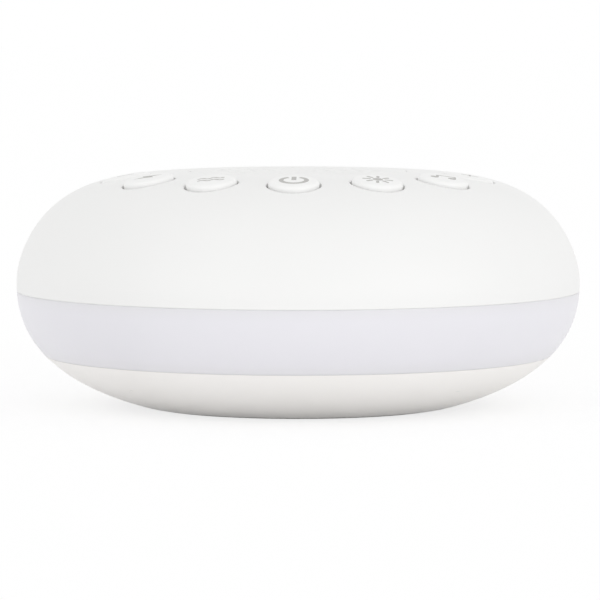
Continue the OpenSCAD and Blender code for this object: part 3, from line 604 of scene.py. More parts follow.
def carve(piece, prisms, operation="DIFFERENCE"):
    """Takes prisms away from a piece, or adds them to it."""
    tool = mesh_piece("tool", gathered(prisms))
    cut = piece.modifiers.new("carve", "BOOLEAN")
    cut.operation, cut.object, cut.solver = operation, tool, "EXACT"
    baked(piece)
    bpy.data.objects.remove(tool)
    return piece


def on_ring(angle, r):
    """Place on a ring round the axis, at an angle from the front towards +X, in degrees."""
    return r * sin(radians(angle)), -r * cos(radians(angle))


print("ready to add and to cut")

# %% [markdown]
# ## The light band
#
# The band is a ring of milky polycarbonate with the body's own curve outside, 2.2 mm thick.
# It butts against the dome and the base. The photograph shows each seam only as a crisp step
# of colour, so its edges get a round of a tenth of a millimetre and no gap. It could be the
# plain solid with a Bevel modifier, but then its outside would keep the solid's facets. So
# it is turned from the curve itself.

# %% Turn the band
SEAM_ROUND = 0.1
ROUND_MIDDLE = 0.3


def seam_edge(z, way):
    """Two points of the round edge at a seam, for the piece above it (1) or below it (-1)."""
    r = lower_r(z)
    step = ROUND_MIDDLE * SEAM_ROUND
    return [(r - step, z + way * step), (r - SEAM_ROUND, z)]


profile = [
    *reversed(seam_edge(BAND_BOTTOM, 1)),
    *lower_curve(BAND_BOTTOM + SEAM_ROUND, BAND_TOP - SEAM_ROUND),
    *seam_edge(BAND_TOP, -1),
    *lower_curve(BAND_TOP, BAND_BOTTOM, WALL),
]
band = tidy(turned("light_band_ring", profile, milky_polycarbonate))
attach(band, "housing")
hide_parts("light_band")

# %% [markdown]
# ## The dome
#
# The top is one injection moulding: a thin dome with seven button holes, each with a sleeve
# behind it that guides its cap, a sunk seat for the perforated disc, and a slot for the
# charging inlet in its rear wall. A boolean cut would leave knife edges and uneven shading
# on the very surface that the light grazes. So the pierced zone is laid out as a flat
# map instead: rings of points round the axis and round each hole are triangulated in plan,
# then lifted onto the curve. Every hole then gets a rolled lip, its wall, the ledge
# that stops the cap, the well and the sleeve, ring by ring. The rest is swept like a lathe.

# %% Sizes of the button holes
KEYS = ["minus", "flash", "wave", "power", "light", "melody", "plus"]
CAP_R = 4.9
KEY_GAP = 0.4
HOLE_R = CAP_R + KEY_GAP
FLANGE_R = CAP_R + 1
WELL_R = FLANGE_R + KEY_GAP
SLEEVE_R = WELL_R + 1
LIP = 0.22
key_axes = {key: sum(box_mm("plunger_" + key), Vector()) / 2 for key in KEYS}
KEY_RING_R = hypot(key_axes["power"].x, key_axes["power"].y)
KEY_Z = top_z(KEY_RING_R)
KEY_TILT = atan2(top_z(KEY_RING_R - 1) - top_z(KEY_RING_R + 1), 2)
power_low, power_high = box_mm("button_power")
cap_drops = {key: power_high.z - box_mm("button_" + key)[1].z for key in KEYS}
FLANGE_TOP = top_z(KEY_RING_R + WELL_R) - 1.7
FLANGE_LOW = FLANGE_TOP - 0.9
LEDGE_Z = FLANGE_TOP + 0.2
SLEEVE_LOW = FLANGE_LOW - 1.2
STEM_LOW = power_low.z
print(f"buttons on a ring of {KEY_RING_R:.1f} mm, tilted {degrees(KEY_TILT):.1f} degrees")
print("caps lower by", {key: round(drop, 2) for key, drop in cap_drops.items()}, "mm")


def key_place(key, tilt=True):
    """Matrix of a button: origin on the dome's surface, Z out of it, Y towards the middle."""
    x, y, _ = key_axes[key]
    upright = Matrix.Translation((x, y, KEY_Z)) @ Matrix.Rotation(atan2(x, -y), 4, "Z")
    return upright @ Matrix.Rotation(KEY_TILT, 4, "X") if tilt else upright


def cap_place(key):
    """Matrix of a cap's head. The outermost two stand a little lower than the others."""
    return Matrix.Translation((0, 0, -cap_drops[key])) @ key_place(key)


# %% Rings round a hole
HOLE_STEPS = 96
LIP_BENDS = [radians(bend) for bend in (22.5, 45, 67.5, 90)]
turns = [2 * pi * i / HOLE_STEPS for i in range(HOLE_STEPS)]


def rise_to_dome(place, x, y):
    """How far along a button's own axis the dome's surface lies over a point of its plan."""
    height = 0.0
    for _ in range(8):  # each round brings it closer, and eight are plenty
        p = place @ Vector((x, y, height))
        height -= (p.z - top_z(hypot(p.x, p.y))) * cos(KEY_TILT)
    return height


def surface_ring(place, r):
    """Ring on the dome round a button's axis, as points of the body."""
    around = [(r * cos(a), r * sin(a)) for a in turns]
    return [place @ Vector((x, y, rise_to_dome(place, x, y))) for x, y in around]


def hole_rings(key):
    """The rings of one hole, from its lip on the dome to the sleeve's foot on the inner skin."""
    place, upright = key_place(key), key_place(key, tilt=False)
    lip_r = HOLE_R + LIP
    rise = [rise_to_dome(place, lip_r * cos(a), lip_r * sin(a)) for a in turns]
    rings = [surface_ring(place, lip_r)]
    for bend in LIP_BENDS:
        r = HOLE_R + LIP * (1 - sin(bend))
        drop = LIP * (1 - cos(bend))
        rings.append([place @ Vector((r * cos(a), r * sin(a), up - drop)) for a, up in zip(turns, rise)])
    ledge = [(LEDGE_Z - KEY_Z - HOLE_R * sin(a) * sin(KEY_TILT)) / cos(KEY_TILT) for a in turns]
    rings.append([place @ Vector((HOLE_R * cos(a), HOLE_R * sin(a), h)) for a, h in zip(turns, ledge)])
    for r, z in ((WELL_R, LEDGE_Z), (WELL_R, SLEEVE_LOW), (SLEEVE_R, SLEEVE_LOW)):
        rings.append([upright @ Vector((r * cos(a), r * sin(a), z - KEY_Z)) for a in turns])
    foot = [Vector((p.x, p.y, top_z(hypot(p.x, p.y), WALL))) for p in rings[-1]]
    return rings + [foot]


holes = [hole_rings(key) for key in KEYS]
print(len(holes), "holes of", len(holes[0]), "rings each")

# %% The pierced zone of a skin
PIERCED_IN, PIERCED_OUT = 26.6, 44.5
PIERCED_PITCH = 1.1


def circle_points(r, inset):
    """Points of a circle round the axis, on the outer skin or inset from it."""
    return [Vector((r * cos(2 * pi * i / AROUND), r * sin(2 * pi * i / AROUND), top_z(r, inset)))
            for i in range(AROUND)]


def pierced_skin(bm, holes, extra_rings, inset, clear_r):
    """Triangles of the zone between two circles, round the holes, on one skin of the dome."""
    loops = [circle_points(PIERCED_OUT, inset), circle_points(PIERCED_IN, inset), *holes]
    points, edges, owner = [], [], []
    for number, loop in enumerate(loops):
        first = len(points)
        points += loop
        owner += [number] * len(loop)
        edges += [(first + i, first + (i + 1) % len(loop)) for i in range(len(loop))]
    for extra in extra_rings:
        points += extra
    rings = int((PIERCED_OUT - PIERCED_IN) / PIERCED_PITCH)
    for k in range(1, rings):
        r = PIERCED_IN + (PIERCED_OUT - PIERCED_IN) * k / rings
        points += [p for p in circle_points(r, inset)
                   if all(hypot(p.x - c.x, p.y - c.y) > clear_r for c in key_axes.values())]
    flat = [Vector((p.x, p.y)) for p in points]
    _, _, faces, origins, _, _ = delaunay_2d_cdt(flat, edges, [], 1, 1e-5, True)
    owner += [-1 - i for i in range(len(points) - len(owner))]
    verts = [bm.verts.new(points[ids[0]] * MM) for ids in origins]
    for face in faces:
        owners = {owner[origins[i][0]] for i in face}
        if len(owners) > 1 or min(owners) < 1:
            bm.faces.new([verts[i] for i in face])


def strip(bm, first, second):
    """Quads between two rings of equal count."""
    for i in range(len(first)):
        j = (i + 1) % len(first)
        bm.faces.new((first[i], first[j], second[j], second[i]))


def sweep(bm, profile):
    """Quads of an open profile swept round the axis."""
    around = [2 * pi * i / AROUND for i in range(AROUND)]
    rings = [[bm.verts.new((r * cos(a) * MM, r * sin(a) * MM, z * MM)) for a in around] for r, z in profile]
    for first, second in zip(rings, rings[1:]):
        strip(bm, first, second)


# %% Build the dome
SPIGOT_H = 1.6
SPIGOT_GAP = 0.4
SPIGOT_T = 1.4
TOP_SPIGOT_R = lower_r(BAND_TOP, WALL) - SPIGOT_GAP
TOP_INNER_R = TOP_SPIGOT_R - SPIGOT_T
SEAT_R = GRILLE_R + 0.1
SEAT_Z = grille_low.z
SEAT_ROUND = 0.3
CEILING_Z = SEAT_Z - 1.1
OPENING_R = 18.0
OPENING_ROUND = 0.2
NEAR_RINGS = (0.3, 0.8, 1.5)
lip_r = HOLE_R + LIP
bm = bmesh.new()
near = [surface_ring(key_place(key), lip_r + step) for key in KEYS for step in NEAR_RINGS]
pierced_skin(bm, [rings[0] for rings in holes], near, 0.0, lip_r + 2.0)
pierced_skin(bm, [rings[-1] for rings in holes], [], WALL, SLEEVE_R + 0.5)
for rings in holes:
    made = [[bm.verts.new(p * MM) for p in ring] for ring in rings]
    for first, second in zip(made, made[1:]):
        strip(bm, first, second)
sweep(bm, [
    *upper_curve(PIERCED_OUT, BODY_R, steps=48),
    *lower_curve(WIDEST_Z, BAND_TOP + SEAM_ROUND, steps=8)[1:],
    *seam_edge(BAND_TOP, 1),
    (TOP_SPIGOT_R, BAND_TOP),
    (TOP_SPIGOT_R, BAND_TOP - SPIGOT_H),
    (TOP_INNER_R, BAND_TOP - SPIGOT_H),
    *upper_curve(TOP_INNER_R, PIERCED_OUT, WALL, steps=24),
])
sweep(bm, [
    *upper_curve(PIERCED_IN, GRILLE_R, WALL, steps=6),
    (GRILLE_R - 0.5, CEILING_Z),
    (OPENING_R, CEILING_Z),
    *fillet((OPENING_R, CEILING_Z), (OPENING_R, SEAT_Z), (SEAT_R, SEAT_Z), OPENING_ROUND),
    (SEAT_R, SEAT_Z),
    *fillet((SEAT_R, SEAT_Z), (SEAT_R, top_z(SEAT_R)), (PIERCED_IN, top_z(PIERCED_IN)), SEAT_ROUND),
    *upper_curve(SEAT_R + 0.5, PIERCED_IN, steps=12),
])
dome = tidy(mesh_piece("dome", bm, satin_abs))

# %% [markdown]
# Bosses for the screws hang from the dome's inner face. Each is a closed tube whose upper
# end is buried in the wall. They are hidden, but someone who takes the part to pieces will
# look for them.


# %% Bosses
TUBE_ROOF = 1.0
BURIED = 0.6


def tube(x, y, r_in, r_out, low, high, steps=48):
    """A closed upright tube as a bmesh, with its upper end solid."""
    around = [(cos(2 * pi * i / steps), sin(2 * pi * i / steps)) for i in range(steps)]
    bm = bmesh.new()
    rings = [[bm.verts.new(Vector((x + r * c, y + r * s, z)) * MM) for c, s in around]
             for r, z in ((r_in, high - TUBE_ROOF), (r_in, low), (r_out, low), (r_out, high))]
    for first, second in zip(rings, rings[1:]):
        strip(bm, first, second)
    bm.faces.new(rings[0])
    bm.faces.new(reversed(rings[3]))
    return bm


def boss(x, y, r_in, r_out, low):
    """A tube whose upper end is buried in the dome's wall."""
    return tube(x, y, r_in, r_out, low, top_z(hypot(x, y), WALL) + BURIED)


KEY_STEP = degrees(atan2(key_axes["light"].x, -key_axes["light"].y))
board_top = box_mm("button_board")[1].z
inlet_top = box_mm("inlet_board")[1].z
BOARD_RING_R = 40
POST_ANGLES = [-1.5 * KEY_STEP, 1.5 * KEY_STEP, 140, -140]
POST_RING_R = 27.5
POST_R = 3.2
POST_JOIN_Z = base_high.z
CHAMBER_RING_R = 26.4
INLET_X, INLET_Y = 6.6, 39.4
bosses = [boss(*on_ring(turn * KEY_STEP, BOARD_RING_R), 0.9, 2.5, board_top)
          for turn in (-3.5, -1.5, 1.5, 3.5)]
bosses += [boss(*on_ring(a, POST_RING_R), 1.1, POST_R, POST_JOIN_Z) for a in POST_ANGLES]
bosses += [tube(*on_ring(a, CHAMBER_RING_R), 0.9, 2.4, CEILING_Z - 3, CEILING_Z + 1)
           for a in (-2.5 * KEY_STEP, 2.5 * KEY_STEP, 180)]
bosses += [boss(x, INLET_Y, 0.9, 2.1, inlet_top) for x in (-INLET_X, INLET_X)]
print(len(bosses), "bosses")

# %% The inlet's slot
socket_low, socket_high = box_mm("inlet_shell")
SLOT_GAP = 0.4
SLOT_ROLL = 0.35
SLOT_IN = 44.0
SLOT_SUNK = 0.15
SLOT_REACH = 4
slot_z = (socket_low.z + socket_high.z) / 2
slot_r = (socket_high.z - socket_low.z) / 2 + SLOT_GAP
slot_half = (socket_high.x - socket_low.x) / 2 + SLOT_GAP - slot_r


def slot_outline(grow_by, steps=16):
    """Outline of the oval slot, a little larger all round by grow_by."""
    bends = [pi * i / steps - pi / 2 for i in range(steps + 1)]
    right = [(slot_half + (slot_r + grow_by) * cos(b), slot_z + (slot_r + grow_by) * sin(b)) for b in bends]
    return right + [(-x, 2 * slot_z - z) for x, z in right]


bm = bmesh.new()
levels = [(SLOT_IN, 0.0)]
for bend in [0, *LIP_BENDS]:
    levels.append((BODY_R - SLOT_SUNK - SLOT_ROLL * (1 - sin(bend)), SLOT_ROLL * (1 - cos(bend))))
levels.append((BODY_R + SLOT_REACH, SLOT_ROLL))
rings = [[bm.verts.new(Vector((x, y, z)) * MM) for x, z in slot_outline(wider)] for y, wider in levels]
for first, second in zip(rings, rings[1:]):
    strip(bm, first, second)
bm.faces.new(rings[0])
bm.faces.new(reversed(rings[-1]))
bmesh.ops.recalc_face_normals(bm, faces=bm.faces)
carve(dome, [bm])
bm = gathered(bosses)
bm.from_mesh(dome.data)
bm.to_mesh(dome.data)
bm.free()
tidy(dome)
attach(dome, "housing")
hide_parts("top_shell")

# %% [markdown]
# ## The base and its foot
#
# The base is a shallow dish. Its floor carries posts for the case screws, the boards and the
# battery straps. The case screws go in from below, and the rubber ring is pressed into a
# groove over them, so nothing of them shows. A round shallow panel in the middle is where
# such a part has its rating label. It is left bare.

# %% Turn the base
BASE_SPIGOT_R = lower_r(BAND_BOTTOM, WALL) - SPIGOT_GAP
BASE_INNER_R = BASE_SPIGOT_R - SPIGOT_T
FLOOR_TOP = FOOT_GAP + WALL
FOOT_IN, FOOT_OUT = foot_high.x - 5.6, foot_high.x
FOOT_SEAT = foot_high.z
LABEL_R, LABEL_DEPTH = 18.0, 0.2
HEAD_Z = 16.0
rim_r = lower_r(FOOT_GAP)
profile = [
    (0, FOOT_GAP + LABEL_DEPTH),
    (LABEL_R - 0.15, FOOT_GAP + LABEL_DEPTH),
    (LABEL_R, FOOT_GAP),
    (LABEL_R + 0.3, FOOT_GAP),
    (FOOT_IN - 0.3, FOOT_GAP),
    (FOOT_IN - 0.1, FOOT_GAP + 0.1),
    (FOOT_IN - 0.1, FOOT_SEAT),
    (FOOT_OUT + 0.1, FOOT_SEAT),
    (FOOT_OUT + 0.1, FOOT_GAP + 0.1),
    (FOOT_OUT + 0.25, FOOT_GAP),
    (rim_r - 0.3, FOOT_GAP),
    *lower_curve(FOOT_GAP, BAND_BOTTOM - SEAM_ROUND),
    *seam_edge(BAND_BOTTOM, -1),
    (BASE_SPIGOT_R, BAND_BOTTOM),
    (BASE_SPIGOT_R, BAND_BOTTOM + SPIGOT_H),
    (BASE_INNER_R, BAND_BOTTOM + SPIGOT_H),
    (BASE_INNER_R, BAND_BOTTOM),
    *[p for p in lower_curve(BAND_BOTTOM, FLOOR_TOP, WALL) if p[0] < BASE_INNER_R],
    (0, FLOOR_TOP),
]
base = tidy(turned("base_dish", profile, warm_abs, steps=192))

# %% Posts in the base
main_z = box_mm("main_board")[0].z
strap_z = box_mm("battery_bracket")[0].z
lamp_z = box_mm("led_board")[0].z
LAMP_RING_R = 42.8
POST_FOOT = FLOOR_TOP - 1
ABOVE_ALL = 30
ring_posts = [on_ring(a, POST_RING_R) for a in POST_ANGLES]
board_posts = [(28, 0), (-28, 0), (0, 19.6), (0, -19.6)]
strap_posts = [(x, y) for x in (-10, 10) for y in (-18.6, 18.6)]
lamp_posts = [(LAMP_RING_R * cos(radians(a)), LAMP_RING_R * sin(radians(a))) for a in (45, 135, 225, 315)]
# places, radius, lower end, upper end
POSTS = [
    (ring_posts, POST_R, POST_FOOT, POST_JOIN_Z),
    (board_posts, 2.2, POST_FOOT, main_z),
    (strap_posts, 1.9, POST_FOOT, strap_z),
    (lamp_posts, 1.7, 5.5, lamp_z),
]
# places, radius, lower end
BORES = [(board_posts, 0.9, main_z - 6), (strap_posts, 0.9, 2.6), (lamp_posts, 0.7, lamp_z - 4.6)]
carve(base, [prism(disc_outline(x, y, r), low, high) for spots, r, low, high in POSTS for x, y in spots],
      "UNION")
for x, y in ring_posts:
    carve(base, [prism(disc_outline(x, y, 2.3), -1, HEAD_Z),
                 prism(disc_outline(x, y, 1.5), HEAD_Z - 0.5, ABOVE_ALL)])
carve(base, [prism(disc_outline(x, y, r, 32), low, ABOVE_ALL) for spots, r, low in BORES for x, y in spots])
tidy(base)
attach(base, "housing")
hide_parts("base_shell")

# %% Turn the foot
FOOT_ROUND = 0.4
near_top, far_top = (FOOT_IN, FOOT_SEAT), (FOOT_OUT, FOOT_SEAT)
near_low, far_low = (FOOT_IN, 0), (FOOT_OUT, 0)
profile = [
    near_top,
    *fillet(near_top, near_low, far_low, FOOT_ROUND),
    *fillet(near_low, far_low, far_top, FOOT_ROUND),
    far_top,
]
foot = tidy(turned("foot_rubber", profile, silicone))
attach(foot, "housing")
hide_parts("foot_ring")

# %% [markdown]
# ## The button caps
#
# Each cap is a small moulding in one piece: a head that leans with the dome, a level flange
# that stops under the ledge, and a stem that presses the switch. The head is turned on its
# own axis, tilted, and cut level where it meets the flange.

# %% Turn the caps
CAP_PROUD = 0.9
CAP_ROUND = 0.8
CAP_CROWN = 0.1
STEM_R = 1.8
FLANGE_MIDDLE = (FLANGE_TOP + FLANGE_LOW) / 2
crown = [((CAP_R - CAP_ROUND) * i / 8, CAP_PROUD - CAP_CROWN * (i / 8) ** 2) for i in range(9)]
head_profile = [
    *crown[:-1],
    *fillet(crown[-1], (CAP_R, CAP_PROUD - CAP_CROWN), (CAP_R, -2), CAP_ROUND, steps=8),
    (CAP_R, -KEY_Z + FLANGE_LOW - 1),
    (0, -KEY_Z + FLANGE_LOW - 1),
]
edge = 0.12
flange_profile = [
    (0, FLANGE_LOW - KEY_Z), (FLANGE_R - edge, FLANGE_LOW - KEY_Z),
    (FLANGE_R, FLANGE_LOW - KEY_Z + edge), (FLANGE_R, FLANGE_TOP - KEY_Z - edge),
    (FLANGE_R - edge, FLANGE_TOP - KEY_Z), (0, FLANGE_TOP - KEY_Z),
]
stem_profile = [
    (0, STEM_LOW - KEY_Z), (STEM_R - edge, STEM_LOW - KEY_Z), (STEM_R, STEM_LOW - KEY_Z + edge),
    (STEM_R, FLANGE_LOW - KEY_Z + 0.3), (0, FLANGE_LOW - KEY_Z + 0.3),
]


def turned_at(profile, place, steps, cut_z=None):
    """A turned shape put in its place as a bmesh, cut level below a height where one is given."""
    shape = turned("shape", profile, smooth_abs, steps)
    bm = bmesh.new()
    bm.from_mesh(shape.data)
    bpy.data.objects.remove(shape)
    metres = Matrix.Translation(place.translation * MM) @ place.to_3x3().to_4x4()
    bmesh.ops.transform(bm, matrix=metres, verts=bm.verts)
    if cut_z is not None:
        cut = bmesh.ops.bisect_plane(bm, geom=[*bm.verts, *bm.edges, *bm.faces], clear_inner=True,
                                     plane_co=(0, 0, cut_z * MM), plane_no=(0, 0, 1))
        rim = [e for e in cut["geom_cut"] if isinstance(e, bmesh.types.BMEdge)]
        bmesh.ops.contextual_create(bm, geom=rim)
    return bm


for key in KEYS:
    upright = key_place(key, tilt=False)
    whole = gathered([turned_at(head_profile, cap_place(key), 96, FLANGE_MIDDLE),
                      turned_at(flange_profile, upright, 96), turned_at(stem_profile, upright, 48)])
    cap = tidy(mesh_piece("cap_" + key, whole, smooth_abs))
    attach(cap, "button_" + key)
    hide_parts("button_" + key)

# %% [markdown]
# ## The signs on the caps
#
# The signs are pad-printed in pale grey. Each is drawn with a pen: strokes, discs and rings
# in the flat plan of its cap. All the outlines of one sign are triangulated together, the
# triangles inside any of them are kept, and the whole is given the thickness of a film of
# ink and laid on the cap's crown. Overlapping strokes thus become one clean shape. A picture
# laid on the cap would be simpler, but it would blur from near by and couldn't be measured.


# %% The pen
def stroke(points, width, steps=6):
    """Outline of a pen stroke along a few points, with round ends, or square ones for 0 steps."""
    path = [Vector(p) for p in points]
    aside = []
    for i in range(len(path)):
        along = (path[min(i + 1, len(path) - 1)] - path[max(i - 1, 0)]).normalized()
        aside.append(Vector((-along.y, along.x)) * width / 2)
    left = [p + a for p, a in zip(path, aside)]
    right = [p - a for p, a in zip(path, aside)]
    if not steps:
        return left + right[::-1]
    bends = [pi * i / steps for i in range(1, steps)]
    tail = [path[-1] + aside[-1] * cos(b) + Vector((aside[-1].y, -aside[-1].x)) * sin(b) for b in bends]
    nose = [path[0] - aside[0] * cos(b) - Vector((aside[0].y, -aside[0].x)) * sin(b) for b in bends]
    return left + tail + right[::-1] + nose


def arc(r, start, end, steps=24):
    """Points along an arc. Angles are in degrees, from the right, anticlockwise."""
    turned_by = [radians(start + (end - start) * i / steps) for i in range(steps + 1)]
    return [(r * cos(a), r * sin(a)) for a in turned_by]


def dot(x, y, r):
    """Outline of a disc of ink."""
    return [Vector(p) for p in disc_outline(x, y, r, 20)]


def inside(point, outline):
    """Whether a point lies inside a closed outline."""
    odd = False
    for a, b in zip(outline, outline[1:] + outline[:1]):
        if (a[1] > point[1]) != (b[1] > point[1]):
            if point[0] < a[0] + (point[1] - a[1]) / (b[1] - a[1]) * (b[0] - a[0]):
                odd = not odd
    return odd


print("the pen is ready")

# %% The signs
PEN = 0.5
THIN_PEN = 0.4
ripple = [(-2.4 + 4.8 * i / 24, 0.4 * sin(pi * i / 6)) for i in range(25)]
rays = [stroke([(1.6 * cos(a), 1.6 * sin(a)), (2.7 * cos(a), 2.7 * sin(a))], 0.6)
        for a in [pi / 4 * i for i in range(8)]]
SIGNS = {
    "minus": [stroke([(-1.5, 0), (1.5, 0)], THIN_PEN)],
    "flash": [[(2.7, 0.6), (-1.1, 1.25), (-0.75, 0.1), (-2.7, -0.6), (1.1, -1.25), (0.75, -0.1)]],
    "wave": [stroke([(x, y + level) for x, y in pair], PEN)
             for level in (-0.8, 0.8) for pair in zip(ripple, ripple[1:])],
    "power": [stroke(arc(2.44, 116, 424), 0.88, 0), stroke([(0, 0), (0, 2.8)], 0.92, 0)],
    "light": [dot(0, 0, 1.0), *rays],
    "melody": [dot(-1.75, -0.9, 0.8), dot(1.65, -0.5, 0.8), stroke([(-1.2, -0.8), (-1.2, 1.2)], 0.5),
               stroke([(2.2, -0.4), (2.2, 1.6)], 0.5), stroke([(-1.2, 1.2), (2.2, 1.6)], 0.6)],
    "plus": [stroke([(-1.5, 0), (1.5, 0)], THIN_PEN), stroke([(0, -1.5), (0, 1.5)], THIN_PEN)],
}
INK = 0.02


def crown_z(p):
    """Height of a cap's crown over a point of its plan."""
    return CAP_PROUD - CAP_CROWN * (p.length / (CAP_R - CAP_ROUND)) ** 2


def printed(name, outlines, place, material):
    """A film of ink over the union of some outlines, on the crown of a cap."""
    points, edges = [], []
    for outline in outlines:
        first = len(points)
        points += [Vector(p) for p in outline]
        edges += [(first + i, first + (i + 1) % len(outline)) for i in range(len(outline))]
    flat, _, faces, _, _, _ = delaunay_2d_cdt(points, edges, [], 1, 1e-3, False)
    kept = []
    for face in faces:
        middle = sum((flat[i] for i in face), Vector((0, 0))) / len(face)
        if any(inside(middle, outline) for outline in outlines):
            kept.append(face)
    bm = bmesh.new()
    top, low = [[bm.verts.new(place @ Vector((p.x, p.y, crown_z(p) + side)) * MM) for p in flat]
                for side in (INK, -INK)]
    border = {}
    for face in kept:
        bm.faces.new([top[i] for i in face])
        bm.faces.new([low[i] for i in reversed(face)])
        for a, b in zip(face, face[1:] + face[:1]):
            border[(a, b)] = True
    for a, b in border:
        if (b, a) not in border:
            bm.faces.new((top[b], top[a], low[a], low[b]))
    return tidy(mesh_piece(name, bm, material))


def upright_place(key):
    """A cap's place turned about its own axis, so that the sign on it stands upright."""
    x, y, _ = key_axes[key]
    return cap_place(key) @ Matrix.Rotation(-atan2(x, -y), 4, "Z")


for key, outlines in SIGNS.items():
    sign = printed("sign_" + key, outlines, upright_place(key), grey_ink)
    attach(sign, "button_" + key)

# %% [markdown]
# ## The perforated disc
#
# The disc over the loudspeaker is a moulding with 91 holes: one in the middle and rings of
# six, twelve, eighteen and so on. That is a rule, so a tree lays the holes. A hole's number
# gives its ring, by solving 3k² - 3k + 1 for k, and its place on the ring. Circles on those
# points and one great circle are filled as one flat shape, which is given its thickness. A
# bevel then rolls every rim.

# %% Tree of the perforated disc: number and place of each hole
tree, entry = geometry_tree("perforated", Holes="Int", Pitch="Float", Hole="Float", Radius="Float",
                            Level="Float", Thickness="Float", Finish="Material")
number = add(tree, "GeometryNodeInputIndex")
root = add(tree, "ShaderNodeMath", {0: number, 1: 12.0, 2: 9.0}, operation="MULTIPLY_ADD")
root = add(tree, "ShaderNodeMath", {0: root}, operation="SQRT")
on = add(tree, "ShaderNodeMath", {0: root, 1: 1 / 6, 2: -0.5 - 1e-4}, operation="MULTIPLY_ADD")
on = add(tree, "ShaderNodeMath", {0: on}, operation="CEIL")
on = add(tree, "ShaderNodeMath", {0: on, 1: 0.0}, operation="MAXIMUM")
inner = add(tree, "ShaderNodeMath", {0: on, 1: 1.0}, operation="SUBTRACT")
inner = add(tree, "ShaderNodeMath", {0: inner, 1: on}, operation="MULTIPLY")
inner = add(tree, "ShaderNodeMath", {0: inner, 1: -3.0, 2: -1.0}, operation="MULTIPLY_ADD")
place = add(tree, "ShaderNodeMath", {0: number, 1: inner}, operation="ADD")
count = add(tree, "ShaderNodeMath", {0: on, 1: 6.0}, operation="MULTIPLY")
count = add(tree, "ShaderNodeMath", {0: count, 1: 1.0}, operation="MAXIMUM")
turn = add(tree, "ShaderNodeMath", {0: place, 1: count}, operation="DIVIDE")
turn = add(tree, "ShaderNodeMath", {0: turn, 1: 2 * pi}, operation="MULTIPLY")
far = add(tree, "ShaderNodeMath", {0: on, 1: entry["Pitch"]}, operation="MULTIPLY")
out = add(tree, "ShaderNodeCombineXYZ", {"X": far})
spot = add(tree, "ShaderNodeVectorRotate", {"Vector": out, "Angle": turn},
           rotation_type="Z_AXIS")
print("the disc's holes are numbered")

# %% Tree of the perforated disc: from holes to a slab
spots = add(tree, "GeometryNodePoints", {"Count": entry["Holes"], "Position": spot})
circle = add(tree, "GeometryNodeCurvePrimitiveCircle", {"Resolution": 24, "Radius": entry["Hole"]})
circles = add(tree, "GeometryNodeInstanceOnPoints",
              {"Points": spots, "Instance": circle})
circles = add(tree, "GeometryNodeRealizeInstances", {"Geometry": circles})
rim = add(tree, "GeometryNodeCurvePrimitiveCircle", {"Resolution": AROUND, "Radius": entry["Radius"]})
outlines = add(tree, "GeometryNodeJoinGeometry", {"Geometry": circles})
tree.links.new(rim.outputs[0], outlines.inputs["Geometry"])
sheet = add(tree, "GeometryNodeFillCurve", {"Curve": outlines})
rise = add(tree, "ShaderNodeCombineXYZ", {"Z": entry["Level"]})
level = add(tree, "GeometryNodeSetPosition", {"Geometry": sheet, "Offset": rise})
raised = add(tree, "GeometryNodeExtrudeMesh",
             {"Mesh": level, "Offset": (0.0, 0.0, 1.0), "Offset Scale": entry["Thickness"],
              "Individual": False})
under = add(tree, "GeometryNodeFlipFaces", {"Mesh": level})
slab = add(tree, "GeometryNodeJoinGeometry", {"Geometry": raised})
tree.links.new(under.outputs[0], slab.inputs["Geometry"])
slab = add(tree, "GeometryNodeMergeByDistance", {"Geometry": slab, "Distance": WELD})
close_tree(tree, slab.outputs[0], entry["Finish"])
disc_tree = tree
print("the disc's tree is ready")

# %% Make the perforated disc
GRILLE_RINGS = 5
GRILLE_PITCH = 3.1
GRILLE_HOLE_R = 0.8
RIM_ROLL = 0.14
hole_count = 1 + 3 * GRILLE_RINGS * (GRILLE_RINGS + 1)
disc = grow("grille_disc", disc_tree, {
    "Holes": hole_count, "Pitch": GRILLE_PITCH * MM, "Hole": GRILLE_HOLE_R * MM, "Radius": GRILLE_R * MM,
    "Level": SEAT_Z * MM, "Thickness": GRILLE_T * MM, "Finish": satin_abs})
flats = [v.co.z / MM for v in disc.data.vertices]
print(f"disc: {hole_count} holes, from {min(flats):.2f} to {max(flats):.2f} mm")
roll = disc.modifiers.new("roll", "BEVEL")
roll.width, roll.segments = RIM_ROLL * MM, 2
roll.limit_method, roll.angle_limit = "ANGLE", radians(60)
tidy(baked(disc))
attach(disc, "housing")
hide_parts("speaker_grille")

# %% [markdown]
# ## Finishes of what the construction already shows well
#
# The boards, screws, the loudspeaker's parts and the battery keep the construction's own
# shapes. They only need their finishes. Most are plain: a colour that drifts a little, and a
# grain of the right size. A few have a pattern that follows a rule, such as a weave, the
# turns of a winding or the tracks on a board, and each of those has a function of its own.

